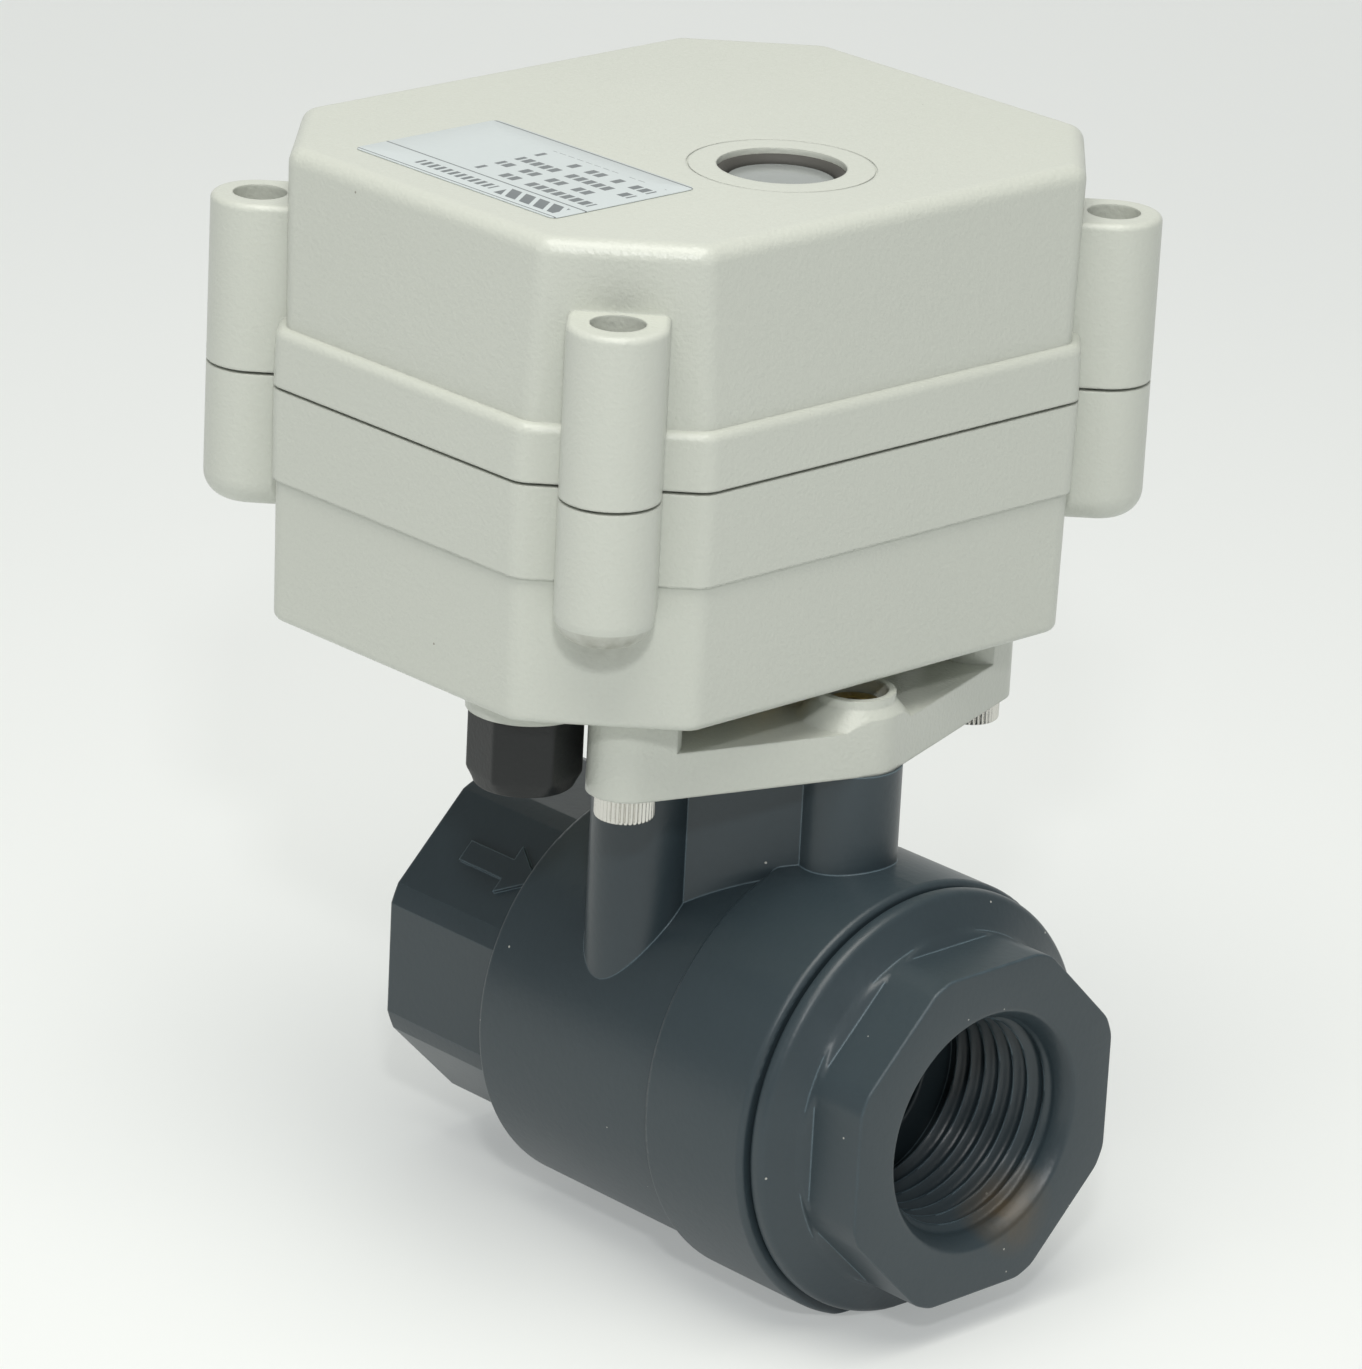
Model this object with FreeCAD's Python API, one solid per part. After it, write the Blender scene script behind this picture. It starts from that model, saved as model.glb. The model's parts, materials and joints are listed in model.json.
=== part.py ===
import FreeCAD, Part
import math
import os

V = FreeCAD.Vector

# Motorized ball valve: a geared electric actuator in a two-part housing, bracketed onto a
# plastic ball valve. Millimetres. The origin is on the surface the valve stands on, under
# the stem axis. +X runs along the pipe to the removable end, +Z up the stem.

# --- driving dimensions: valve ---------------------------------------------------------
PIPE_Z = 19.5              # pipe axis above the foot
REAR_END = -30.9           # end faces of the two threaded ends
FRONT_END = 32.9
END_FLATS = 32.0           # octagonal ends, across flats
END_TURNED_R = 16.92       # the octagon's corners are turned down to this radius
BODY_REAR = -13.6          # barrel of the body
BODY_STEP = 10.1
BODY_FRONT = 22.9
BARREL_R = 19.9
COLLAR_R = 20.9            # stouter front part of the barrel
FOOT_HALF_Y = 5.0          # flat foot under the barrel
FLANGE_R = 20.2            # end connector's flange
FLANGE_BACK = 23.25
FLANGE_EDGE = 24.7         # front of the flange's rounded edge
SHOULDER_X = 26.0          # foot of the flange's sloping front, where the flats start
SHOULDER_R = 17.3
PORT_R = 10.48             # G 1/2 thread, at its major radius
PORT_DEPTH = 15.0
MOUTH_R = 11.4             # lead-in of the port
MOUTH_DEPTH = 1.5
WATERWAY_R = 7.2
BALL_R = 12.0
CAVITY_R = 13.2
CAVITY_HALF = 10.5
SPIGOT_R = 16.2            # end connector's threaded spigot, inside the collar
SPIGOT_SEAL_X = (19.4, 21.2)
NECK_TOP = PIPE_Z + 30.1
POST_RING_R = 13.2         # four round posts of the neck
POST_R = 4.7
NECK_FLAT = 11.5           # stem axis to the flat webs between the posts
STEM_R = 4.0
STEM_COLLAR_R = 6.1        # recess for the stem's collar, under the neck
STEM_SEAL_Z = (PIPE_Z + 18.0, PIPE_Z + 21.5)
SEAL_DEPTH = 0.9           # depth of the seal grooves in shafts
SEAL_WIDTH = 1.2
SQUARE = 5.6               # square drive ends of stem and shaft

# --- driving dimensions: bracket -------------------------------------------------------
PLATE_TOP = NECK_TOP + 4.3
LUG_X = 6.75               # bracket's end lugs stand off the stem axis
LUG_Y = 21.8
LUG_R = 3.6
LUG_SEAT = NECK_TOP + 0.5
PAD_R = 4.8                # pads between the lugs and the housing
BOSS_R = 4.4
POCKET_TOP = NECK_TOP + 6.9
POCKET_FLOOR = NECK_TOP + 2.6
POCKET_OUT_R = 3.7
POCKET_IN_R = 3.0
HUB_BORE_R = 8.0

# --- driving dimensions: M3 screws -----------------------------------------------------
M3_R = 1.5
M3_PILOT_R = 1.52
M3_CLEAR_R = 1.6
M3_HEAD_R = 2.75
M3_HEAD_H = 3.0
THREAD_25_R = 1.25         # thread-forming screws of 2.5 mm in the plastic
THREAD_25_PILOT_R = 1.27
THREAD_25_HEAD_R = 2.25

# --- driving dimensions: housing -------------------------------------------------------
BOX_X = -11.6              # housing centre, behind the stem axis
BASE_BOTTOM = PIPE_Z + 38.4
PART_Z = PIPE_Z + 60.7     # parting plane
COVER_TOP = PIPE_Z + 82.6
HALF_X = 28.3              # housing at the parting plane
HALF_Y = 34.7
CORNER = 11.75
WALL = 2.5
SEAM = 0.15                # half of the gap at the parting plane
BASE_BAND = 8.7            # wider bands beside the parting plane
COVER_BAND = 5.4
CORNER_FILLET = 2.4
CAP_LUG_X = 23.9           # cover screws, from the housing centre
CAP_LUG_Y = 30.6
CAP_LUG_R = 4.47
CAP_LUG_TOP = PIPE_Z + 76.4
CAP_LUG_BOTTOM = PIPE_Z + 47.7
CAP_HOLE_R = 2.45
WINDOW_R = 5.85
WINDOW_LINE_R = 8.55       # faint line round the window
FLOOR_TOP = BASE_BOTTOM + WALL
CEILING = COVER_TOP - WALL
CAP_SCREW_SEAT = PART_Z + 3.8
CAP_SCREW_LENGTH = 14.0
GROOVE_OUT = 0.95          # gasket groove, from the outline
GROOVE_IN = 2.15
GROOVE_DEPTH = 0.75
LABEL_X = (-25.2, 1.4)
LABEL_Y = (-28.6, -11.7)
LABEL_T = 0.12

# --- driving dimensions: gland ---------------------------------------------------------
GLAND_X = -0.7
GLAND_Y = -27.3
GLAND_COLLAR_R = 5.5
GLAND_COLLAR_Z = PIPE_Z + 37.0
GLAND_NUT_Z = PIPE_Z + 29.8
GLAND_NUT_FLATS = 9.15
GLAND_NUT_TURN = 16.0      # the nut stops wherever it is tight
GLAND_BODY_R = 2.95
GLAND_HOLE_R = 2.2

# --- driving dimensions: drive ---------------------------------------------------------
MODULE_LOW = 0.6           # slow end of the train
MODULE_HIGH = 0.5          # motor end
OUTPUT_TEETH = 40
WHEEL_2_TEETH = 34
PINION_2_TEETH = 12
WHEEL_1_TEETH = 44
PINION_1_TEETH = 12
MOTOR_TEETH = 12
OUTPUT_TO_2 = MODULE_LOW * (OUTPUT_TEETH + PINION_2_TEETH) / 2
TWO_TO_1 = MODULE_LOW * (WHEEL_2_TEETH + PINION_1_TEETH) / 2
ONE_TO_MOTOR = MODULE_HIGH * (WHEEL_1_TEETH + MOTOR_TEETH) / 2
BEARING_1 = 150.0          # direction of each axis from the one before it, degrees
BEARING_2 = 218.0
BEARING_3 = 272.0
OUTPUT_WHEEL_Z = (63.0, 67.0)
PINION_2_Z = (62.6, 67.4)
WHEEL_2_Z = (67.9, 70.1)
PINION_1_Z = (67.5, 70.5)
WHEEL_1_Z = (70.9, 72.9)
MOTOR_PINION_Z = (70.4, 73.6)
GEAR_PLATE_Z = 74.5
GEAR_PLATE_T = 2.0
GEAR_PLATE_TOP = GEAR_PLATE_Z + GEAR_PLATE_T
PLATE_SCREWS = [(-11.5, -25.5), (6.5, -21.5), (-29.5, 21.5), (6.5, 21.5)]
SHAFT_R = 4.0
SHAFT_TOP = 94.6
SHAFT_NECK_R = 2.5         # slimmer top of the shaft, under the indicator
SHAFT_SEAL_Z = 59.0
INDICATOR_TOP = 95.8
BUSH_R = 5.5
BUSH_LIP_R = 7.0
RUNNING = 0.04             # radial clearance of a running fit
PIN_R = 1.0
MOTOR_R = 9.5
MOTOR_H = 20.0
MOTOR_CAP_H = 2.0
MOTOR_SHAFT_R = 0.75
MOTOR_NOSE_R = 3.0
MOTOR_SCREW_R = 0.8
MOTOR_SCREW_RING = 7.0
BOARD_Z = 78.0
BOARD_T = 1.6
BOARD_TOP = BOARD_Z + BOARD_T
BOARD_SCREWS = [(-9.6, 24.8), (-9.6, -14.5), (10.2, 12.0), (10.2, -12.0)]
CAM_HIGH = 9.0
CAM_LIFT = 1.05            # rise of a cam over the quarter turn
CAM_GAP = 0.3
CAM_CLOSED_Z = (80.2, 83.1)
CAM_OPEN_Z = (83.3, 86.2)
LEVER_CLOSED_Z = 80.6
LEVER_OPEN_Z = 83.7
LEVER_H = 2.2
LEVER_T = 0.35
LEVER_PIVOT_X = 9.5
LEVER_PIVOT_Y = 9.9
LEVER_PIN_R = 0.3


# --- shapes ----------------------------------------------------------------------------
def disc(r, z0, z1, x=0.0, y=0.0):
    return Part.makeCylinder(r, z1 - z0, V(x, y, z0))


def ring(outer, inner, z0, z1, x=0.0, y=0.0):
    return disc(outer, z0, z1, x, y).cut(disc(inner, z0 - 1, z1 + 1, x, y))


def block(x0, x1, y0, y1, z0, z1):
    return Part.makeBox(x1 - x0, y1 - y0, z1 - z0, V(x0, y0, z0))


def pipe(r, x0, x1):
    """Cylinder along the pipe axis."""
    return Part.makeCylinder(r, x1 - x0, V(x0, 0, PIPE_Z), V(1, 0, 0))


def pipe_ring(outer, inner, x0, x1):
    return pipe(outer, x0, x1).cut(pipe(inner, x0 - 1, x1 + 1))


def pipe_cone(r0, r1, x0, x1):
    return Part.makeCone(r0, r1, x1 - x0, V(x0, 0, PIPE_Z), V(1, 0, 0))


def prism(points, z0, z1):
    outline = Part.makePolygon([V(x, y, z0) for x, y in points + points[:1]])
    return Part.Face(outline).extrude(V(0, 0, z1 - z0))


def regular(sides, flats, x=0.0, y=0.0, turn=0.0):
    """Corners of a regular polygon given across its flats, first corner at the angle turn."""
    r = flats / 2 / math.cos(math.pi / sides)
    angles = [math.radians(turn) + 2 * math.pi * k / sides for k in range(sides)]
    return [(x + r * math.cos(a), y + r * math.sin(a)) for a in angles]


def octagon(half_x, half_y, corner):
    """Corners of the housing's outline, a rectangle with its corners cut at 45 degrees."""
    quarter = [(half_x, half_y - corner), (half_x - corner, half_y)]
    points = quarter + [(-x, y) for x, y in reversed(quarter)]
    points += [(-x, -y) for x, y in points]
    return [(BOX_X + x, y) for x, y in points]


def drafted(low, z0, high, z1):
    """Solid between two outlines with parallel edges, so that every wall is flat."""
    outlines = []
    for points, z in ((low, z0), (high, z1)):
        outlines.append(Part.makePolygon([V(x, y, z) for x, y in points + points[:1]]))
    return Part.makeLoft(outlines, True, True)


def join(*shapes):
    return shapes[0].multiFuse(list(shapes[1:])).removeSplitter()


def edges_at(shape, z):
    """Edges that lie in the level plane z."""
    return [e for e in shape.Edges if abs(e.BoundBox.ZMin - z) + abs(e.BoundBox.ZMax - z) < 0.01]


def upright_edges(shape):
    """Straight edges that run up the shape's whole height, drafted or not."""
    height = shape.BoundBox.ZLength
    return [e for e in shape.Edges if len(e.Vertexes) == 2 and e.BoundBox.ZLength > 0.99 * height]


def polar(r, degrees, x=0.0, y=0.0):
    a = math.radians(degrees)
    return x + r * math.cos(a), y + r * math.sin(a)


def hull_of_discs(discs, z0, z1):
    """Level plate whose outline wraps round discs (x, y, r), given anticlockwise."""
    following = discs[1:] + discs[:1]
    tangents = []
    for (x0, y0, r0), (x1, y1, r1) in zip(discs, following):
        run = math.hypot(x1 - x0, y1 - y0)
        tangents.append(math.atan2(y1 - y0, x1 - x0) - math.acos((r0 - r1) / run))
    edges = []
    for k, ((x0, y0, r0), (x1, y1, r1)) in enumerate(zip(discs, following)):
        start = tangents[k - 1]
        end = tangents[k]
        if end < start:
            end += 2 * math.pi
        arc = [V(*polar(r0, math.degrees(a), x0, y0), z0) for a in (start, (start + end) / 2, end)]
        edges.append(Part.Arc(*arc).toShape())
        landing = V(*polar(r1, math.degrees(end), x1, y1), z0)
        edges.append(Part.LineSegment(arc[-1], landing).toShape())
    return Part.Face(Part.Wire(edges)).extrude(V(0, 0, z1 - z0))


def socket_screw(x, y, seat, up, head, shank):
    """Cap screw on a level seat, its head (radius, height) above the seat, or below where up
    is -1, and its shank (radius, length) on the other side."""
    head_r, head_h = head
    shank_r, length = shank
    crown = seat + up * head_h
    depth = 0.6 * head_h
    body = join(disc(head_r, *sorted((seat, crown)), x, y),
                disc(shank_r, *sorted((seat, seat - up * length)), x, y))
    return body.cut(prism(regular(6, head_r, x, y), *sorted((crown, crown - up * depth))))


def compound(shapes):
    return Part.makeCompound(shapes)


def save(name, shape):
    shape.exportStep("parts/" + name + ".step")


# --- gears -----------------------------------------------------------------------------
def tooth_half_angle(radius, base_r, pitch_half):
    """Half angle of an involute tooth at a radius, from its half angle at the pitch circle."""
    def involute(r):
        pressure = math.acos(min(1.0, base_r / r))
        return math.tan(pressure) - pressure
    pitch_r = base_r / math.cos(math.radians(20))
    return pitch_half + involute(pitch_r) - involute(max(radius, base_r))


def gear(module, teeth, bore, z0, z1, x, y, tooth_at):
    """Spur gear with 20 degree involute teeth, one of them centred at the angle tooth_at."""
    pitch_r = module * teeth / 2
    base_r = pitch_r * math.cos(math.radians(20))
    pitch_half = math.pi / teeth / 2 - 0.07 * module / pitch_r
    radii = [pitch_r + module * height for height in (-1.2, -0.3, 0.35, 0.85)]
    points = []
    for k in range(teeth):
        centre = math.radians(tooth_at) + 2 * math.pi * k / teeth
        flank = [(r, tooth_half_angle(r, base_r, pitch_half)) for r in radii]
        points += [polar(r, math.degrees(centre - half), x, y) for r, half in flank]
        points += [polar(r, math.degrees(centre + half), x, y) for r, half in reversed(flank)]
    return prism(points, z0, z1).cut(disc(bore, z0 - 1, z1 + 1, x, y))


AXIS_2 = polar(OUTPUT_TO_2, BEARING_1)
AXIS_1 = polar(TWO_TO_1, BEARING_2, *AXIS_2)
MOTOR_AXIS = polar(ONE_TO_MOTOR, BEARING_3, *AXIS_1)


def gap_at(bearing, teeth):
    """Angle of a tooth so that a gap, not a tooth, faces the bearing."""
    return bearing + 180.0 / teeth


def output_gear():
    wheel = gear(MODULE_LOW, OUTPUT_TEETH, SHAFT_R, *OUTPUT_WHEEL_Z, 0, 0, BEARING_1)
    hub = ring(6.5, SHAFT_R, OUTPUT_WHEEL_Z[1], OUTPUT_WHEEL_Z[1] + 0.5)
    return join(wheel, hub)


def compound_gear_2():
    hole = PIN_R + RUNNING
    tooth_at = gap_at(BEARING_1 + 180, PINION_2_TEETH)
    pinion = gear(MODULE_LOW, PINION_2_TEETH, hole, *PINION_2_Z, *AXIS_2, tooth_at)
    wheel = gear(MODULE_LOW, WHEEL_2_TEETH, hole, *WHEEL_2_Z, *AXIS_2, BEARING_2)
    return join(pinion, ring(2.4, hole, PINION_2_Z[1], WHEEL_2_Z[0], *AXIS_2), wheel)


def compound_gear_1():
    hole = PIN_R + RUNNING
    tooth_at = gap_at(BEARING_2 + 180, PINION_1_TEETH)
    pinion = gear(MODULE_LOW, PINION_1_TEETH, hole, *PINION_1_Z, *AXIS_1, tooth_at)
    wheel = gear(MODULE_HIGH, WHEEL_1_TEETH, hole, *WHEEL_1_Z, *AXIS_1, BEARING_3)
    return join(pinion, ring(2.4, hole, PINION_1_Z[1], WHEEL_1_Z[0], *AXIS_1), wheel)


def motor_pinion():
    tooth_at = gap_at(BEARING_3 + 180, MOTOR_TEETH)
    return gear(MODULE_HIGH, MOTOR_TEETH, MOTOR_SHAFT_R, *MOTOR_PINION_Z, *MOTOR_AXIS, tooth_at)


def gear_pin(axis):
    return disc(PIN_R, FLOOR_TOP - 1.4, GEAR_PLATE_TOP, *axis)


# --- housing ---------------------------------------------------------------------------
def inset(amount):
    """Housing outline drawn in by the same amount on every wall."""
    return octagon(HALF_X - amount, HALF_Y - amount, CORNER - 0.586 * amount)


def cap_lug_places():
    return [(BOX_X + sx * CAP_LUG_X, sy * CAP_LUG_Y) for sx in (1, -1) for sy in (1, -1)]


def cap_lug(x, y, z0, z1, round_z, fillet):
    """Screw lug on a cut corner: a round front and two flat cheeks that run into the wall.
    The lug's edge at round_z is filleted, apart from the buried inner end."""
    d = math.sqrt(0.5)
    inward = V(-math.copysign(d, x - BOX_X), -math.copysign(d, y), 0)
    across = V(inward.y, -inward.x, 0) * CAP_LUG_R
    depth = 4.8
    centre = V(x, y, 0)
    corners = [centre + across, centre - across]
    corners += [corner + inward * depth for corner in reversed(corners)]
    cheeks = prism([(p.x, p.y) for p in corners], z0, z1)
    lug = join(disc(CAP_LUG_R, z0, z1, x, y), cheeks)
    rim = [e for e in edges_at(lug, round_z) if inward.dot(e.CenterOfMass - centre) < depth - 0.2]
    return lug.makeFillet(fillet, rim)


def groove_loop(z0, z1):
    """Band that follows the outline inside the wall, for the gasket and its groove."""
    outer = drafted(inset(GROOVE_OUT), z0, inset(GROOVE_OUT), z1)
    return outer.cut(drafted(inset(GROOVE_IN), z0 - 1, inset(GROOVE_IN), z1 + 1))


def base_outside():
    """Base before it is hollowed: wall, band beside the parting plane, lugs, gland collar."""
    top = PART_Z - SEAM
    wall = drafted(inset(0.65), BASE_BOTTOM, inset(0.35), top)
    wall = wall.makeFillet(CORNER_FILLET, upright_edges(wall))
    wall = wall.makeFillet(0.8, edges_at(wall, BASE_BOTTOM))
    band = drafted(inset(0.12), PART_Z - BASE_BAND, inset(0.0), top)
    band = band.makeFillet(CORNER_FILLET, upright_edges(band))
    lugs = [cap_lug(x, y, CAP_LUG_BOTTOM, top, CAP_LUG_BOTTOM, 2.5) for x, y in cap_lug_places()]
    collar = disc(GLAND_COLLAR_R, GLAND_COLLAR_Z, BASE_BOTTOM + 1, GLAND_X, GLAND_Y)
    return join(wall, band, *lugs, collar)


def base_housing():
    cavity = drafted(inset(0.65 + WALL), FLOOR_TOP, inset(0.35 + WALL), PART_Z + 1)
    shell = base_outside().cut(cavity)
    low = FLOOR_TOP - 0.1
    bearing = disc(8.0, low, FLOOR_TOP + 1.6)
    posts = [disc(2.6, low, GEAR_PLATE_Z, x, y) for x, y in PLATE_SCREWS]
    gland_boss = disc(4.0, low, FLOOR_TOP + 5.6, GLAND_X, GLAND_Y)
    pin_bosses = [disc(2.2, low, FLOOR_TOP + 0.8, *axis) for axis in (AXIS_1, AXIS_2)]
    shell = join(shell, bearing, gland_boss, *posts, *pin_bosses)
    pilot = THREAD_25_PILOT_R
    tools = [groove_loop(PART_Z - GROOVE_DEPTH, PART_Z + 1)]
    tools += [disc(BUSH_R, BASE_BOTTOM - 1, FLOOR_TOP + 3)]
    tools += [disc(GLAND_BODY_R + 0.05, GLAND_COLLAR_Z - 1, FLOOR_TOP + 8, GLAND_X, GLAND_Y)]
    tools += [disc(pilot, GEAR_PLATE_Z - 10.5, GEAR_PLATE_Z + 1, x, y) for x, y in PLATE_SCREWS]
    tools += [disc(PIN_R, FLOOR_TOP - 1.4, FLOOR_TOP + 3, *axis) for axis in (AXIS_1, AXIS_2)]
    hole_end = CAP_SCREW_SEAT - CAP_SCREW_LENGTH - 1
    tools += [disc(pilot, hole_end, PART_Z + 1, x, y) for x, y in cap_lug_places()]
    tools += [disc(M3_PILOT_R, BASE_BOTTOM - 1, FLOOR_TOP + 1, *place) for place in bracket_lug_places()]
    return shell.cut(compound(tools))


def cover_outside():
    """Cover before it is hollowed: wall, band beside the parting plane and lugs."""
    low = PART_Z + SEAM
    band_top = PART_Z + COVER_BAND
    foot = octagon(HALF_X - 0.95, HALF_Y - 1.1, CORNER - 0.5)
    head = octagon(HALF_X - 1.15, HALF_Y - 1.35, CORNER - 1.6)
    wall = drafted(foot, low, head, COVER_TOP)
    wall = wall.makeFillet(CORNER_FILLET, upright_edges(wall))
    wall = wall.makeFillet(1.5, edges_at(wall, COVER_TOP))
    band = drafted(inset(0.0), low, inset(0.1), band_top)
    band = band.makeFillet(CORNER_FILLET, upright_edges(band))
    band = band.makeFillet(0.85, edges_at(band, band_top))
    lugs = [cap_lug(x, y, low, CAP_LUG_TOP, CAP_LUG_TOP, 0.6) for x, y in cap_lug_places()]
    return join(wall, band, *lugs)


def top_cover():
    foot = octagon(HALF_X - 0.95 - WALL, HALF_Y - 1.1 - WALL, CORNER - 2.0)
    head = octagon(HALF_X - 1.15 - WALL, HALF_Y - 1.35 - WALL, CORNER - 3.1)
    shell = cover_outside().cut(drafted(foot, PART_Z - 1, head, CEILING))
    tools = [disc(WINDOW_R, CEILING - 1, COVER_TOP + 1)]
    tools += [ring(WINDOW_LINE_R, WINDOW_LINE_R - 0.15, COVER_TOP - 0.12, COVER_TOP + 1)]
    for x, y in cap_lug_places():
        tools += [disc(CAP_HOLE_R, CAP_SCREW_SEAT, CAP_LUG_TOP + 1, x, y)]
        tools += [disc(THREAD_25_R + 0.35, PART_Z - 1, CAP_SCREW_SEAT + 1, x, y)]
    return shell.cut(compound(tools))


def cover_gasket():
    return groove_loop(PART_Z - GROOVE_DEPTH, PART_Z + SEAM)


def cover_screws():
    head = (THREAD_25_HEAD_R, 2.4)
    shank = (THREAD_25_R, CAP_SCREW_LENGTH)
    return compound([socket_screw(x, y, CAP_SCREW_SEAT, 1, head, shank) for x, y in cap_lug_places()])


def window_lens():
    return join(disc(7.2, CEILING - 1.2, CEILING), disc(4.9, CEILING - 0.1, CEILING + 0.9))


def window_seal():
    return ring(WINDOW_R - 0.02, 4.95, CEILING, CEILING + 2.0)


def name_plate():
    plate = block(*LABEL_X, *LABEL_Y, COVER_TOP, COVER_TOP + LABEL_T)
    return plate.makeFillet(0.8, upright_edges(plate))


# --- drive -----------------------------------------------------------------------------
def square_end(flats, z0, z1):
    return prism(regular(4, flats, turn=45.0), z0, z1)


def output_shaft():
    shaft = disc(SHAFT_R, BASE_BOTTOM - 0.3, 90.0)
    neck = disc(SHAFT_NECK_R, 90.0, SHAFT_TOP)
    body = join(shaft, neck, square_end(SQUARE, BASE_BOTTOM - 3.7, BASE_BOTTOM))
    return body.cut(seal_groove(SHAFT_R, SHAFT_SEAL_Z))


def seal_groove(r, z):
    return ring(r + 1, r - SEAL_DEPTH, z, z + SEAL_WIDTH)


def seal_in_groove(r, z):
    return ring(r + 0.02, r - SEAL_DEPTH + 0.02, z + 0.05, z + SEAL_WIDTH - 0.05)


def shaft_seal():
    return seal_in_groove(SHAFT_R, SHAFT_SEAL_Z)


def lower_bush():
    bore = SHAFT_R + RUNNING
    seat = FLOOR_TOP + 1.6
    return join(ring(BUSH_R, bore, BASE_BOTTOM, seat), ring(BUSH_LIP_R, bore, seat, seat + 0.6))


def upper_bush():
    bore = SHAFT_R + RUNNING
    lip = ring(BUSH_LIP_R, bore, GEAR_PLATE_TOP, GEAR_PLATE_TOP + 0.8)
    return join(ring(BUSH_R, bore, GEAR_PLATE_Z, GEAR_PLATE_TOP), lip)


def indicator_disc():
    return join(disc(5.0, SHAFT_TOP, INDICATOR_TOP), ring(3.4, SHAFT_NECK_R, SHAFT_TOP - 2.0, SHAFT_TOP))


def indicator_pointer():
    blade = [(-3.8, -0.9), (1.4, -0.9), (1.4, -1.9), (3.9, 0.0), (1.4, 1.9), (1.4, 0.9), (-3.8, 0.9)]
    return prism(blade, INDICATOR_TOP, INDICATOR_TOP + 0.4)


def gear_plate():
    plate = prism(octagon(24.4, 28.4, 9.6), GEAR_PLATE_Z, GEAR_PLATE_TOP)
    holes = [(BUSH_R, 0, 0), (MOTOR_NOSE_R + 0.6, *MOTOR_AXIS)]
    holes += [(PIN_R, *axis) for axis in (AXIS_1, AXIS_2)]
    holes += [(THREAD_25_R + 0.35, *place) for place in PLATE_SCREWS]
    holes += [(MOTOR_SCREW_R + 0.1, *place) for place in motor_screw_places()]
    return plate.cut(compound([disc(r, GEAR_PLATE_Z - 1, GEAR_PLATE_TOP + 1, x, y) for r, x, y in holes]))


def plate_screws():
    head = (THREAD_25_HEAD_R, 1.8)
    shank = (THREAD_25_R, 11.0)
    return compound([socket_screw(x, y, GEAR_PLATE_TOP, 1, head, shank) for x, y in PLATE_SCREWS])


def motor_screw_places():
    return [polar(MOTOR_SCREW_RING, a, *MOTOR_AXIS) for a in (0.0, 180.0)]


def motor_can():
    low = GEAR_PLATE_TOP
    can = ring(MOTOR_R, MOTOR_R - 0.8, low, low + MOTOR_H - MOTOR_CAP_H, *MOTOR_AXIS)
    face = ring(MOTOR_R - 0.7, 2.0, low, low + 1.0, *MOTOR_AXIS)
    nose = ring(MOTOR_NOSE_R, 2.0, low - 1.5, low + 1.0, *MOTOR_AXIS)
    holes = [disc(MOTOR_SCREW_R + 0.05, low - 1, low + 2, *place) for place in motor_screw_places()]
    return join(can, face, nose).cut(compound(holes))


def motor_end_cap():
    x, y = MOTOR_AXIS
    top = GEAR_PLATE_TOP + MOTOR_H
    low = top - MOTOR_CAP_H
    cap = disc(MOTOR_R, low, top, x, y).cut(disc(1.2, low - 1, low + 1.0, x, y))
    tabs = [block(t - 0.25, t + 0.25, y - 1.0, y + 1.0, low + 1.5, top + 1.6) for t in (x + 5.0, x - 5.0)]
    return join(cap, *tabs)


def motor_bearing():
    low = GEAR_PLATE_TOP
    return ring(2.0, MOTOR_SHAFT_R + RUNNING, low - 1.5, low + 1.0, *MOTOR_AXIS)


def motor_rotor():
    low = GEAR_PLATE_TOP
    shaft = disc(MOTOR_SHAFT_R, MOTOR_PINION_Z[0], low + MOTOR_H - 1.5, *MOTOR_AXIS)
    core = disc(6.0, low + 3.0, low + 13.0, *MOTOR_AXIS)
    commutator = disc(2.2, low + 13.0, low + 16.0, *MOTOR_AXIS)
    return join(core, commutator, shaft)


def motor_magnets():
    x, y = MOTOR_AXIS
    low = GEAR_PLATE_TOP
    sleeve = ring(MOTOR_R - 0.82, 6.4, low + 3.0, low + 13.0, x, y)
    gap = block(x - 1.5, x + 1.5, y - MOTOR_R, y + MOTOR_R, low, low + MOTOR_H)
    return sleeve.cut(gap)


def motor_screws():
    head = (1.5, 1.0)
    shank = (MOTOR_SCREW_R, GEAR_PLATE_T + 1.0)
    return compound([socket_screw(x, y, GEAR_PLATE_Z, -1, head, shank) for x, y in motor_screw_places()])


def circuit_board():
    board = block(-11.6, 12.0, -27.2, 27.2, BOARD_Z, BOARD_TOP)
    board = board.common(prism(octagon(24.0, 29.0, 9.6), BOARD_Z, BOARD_TOP))
    holes = [(CAM_HIGH + 1.2, 0, 0)]
    holes += [(THREAD_25_HEAD_R + 0.65, *place) for place in PLATE_SCREWS]
    holes += [(1.1, *place) for place in BOARD_SCREWS]
    return board.cut(compound([disc(r, BOARD_Z - 1, BOARD_TOP + 1, x, y) for r, x, y in holes]))


def board_spacers():
    return compound([ring(2.0, 1.05, GEAR_PLATE_TOP, BOARD_Z, x, y) for x, y in BOARD_SCREWS])


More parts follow.
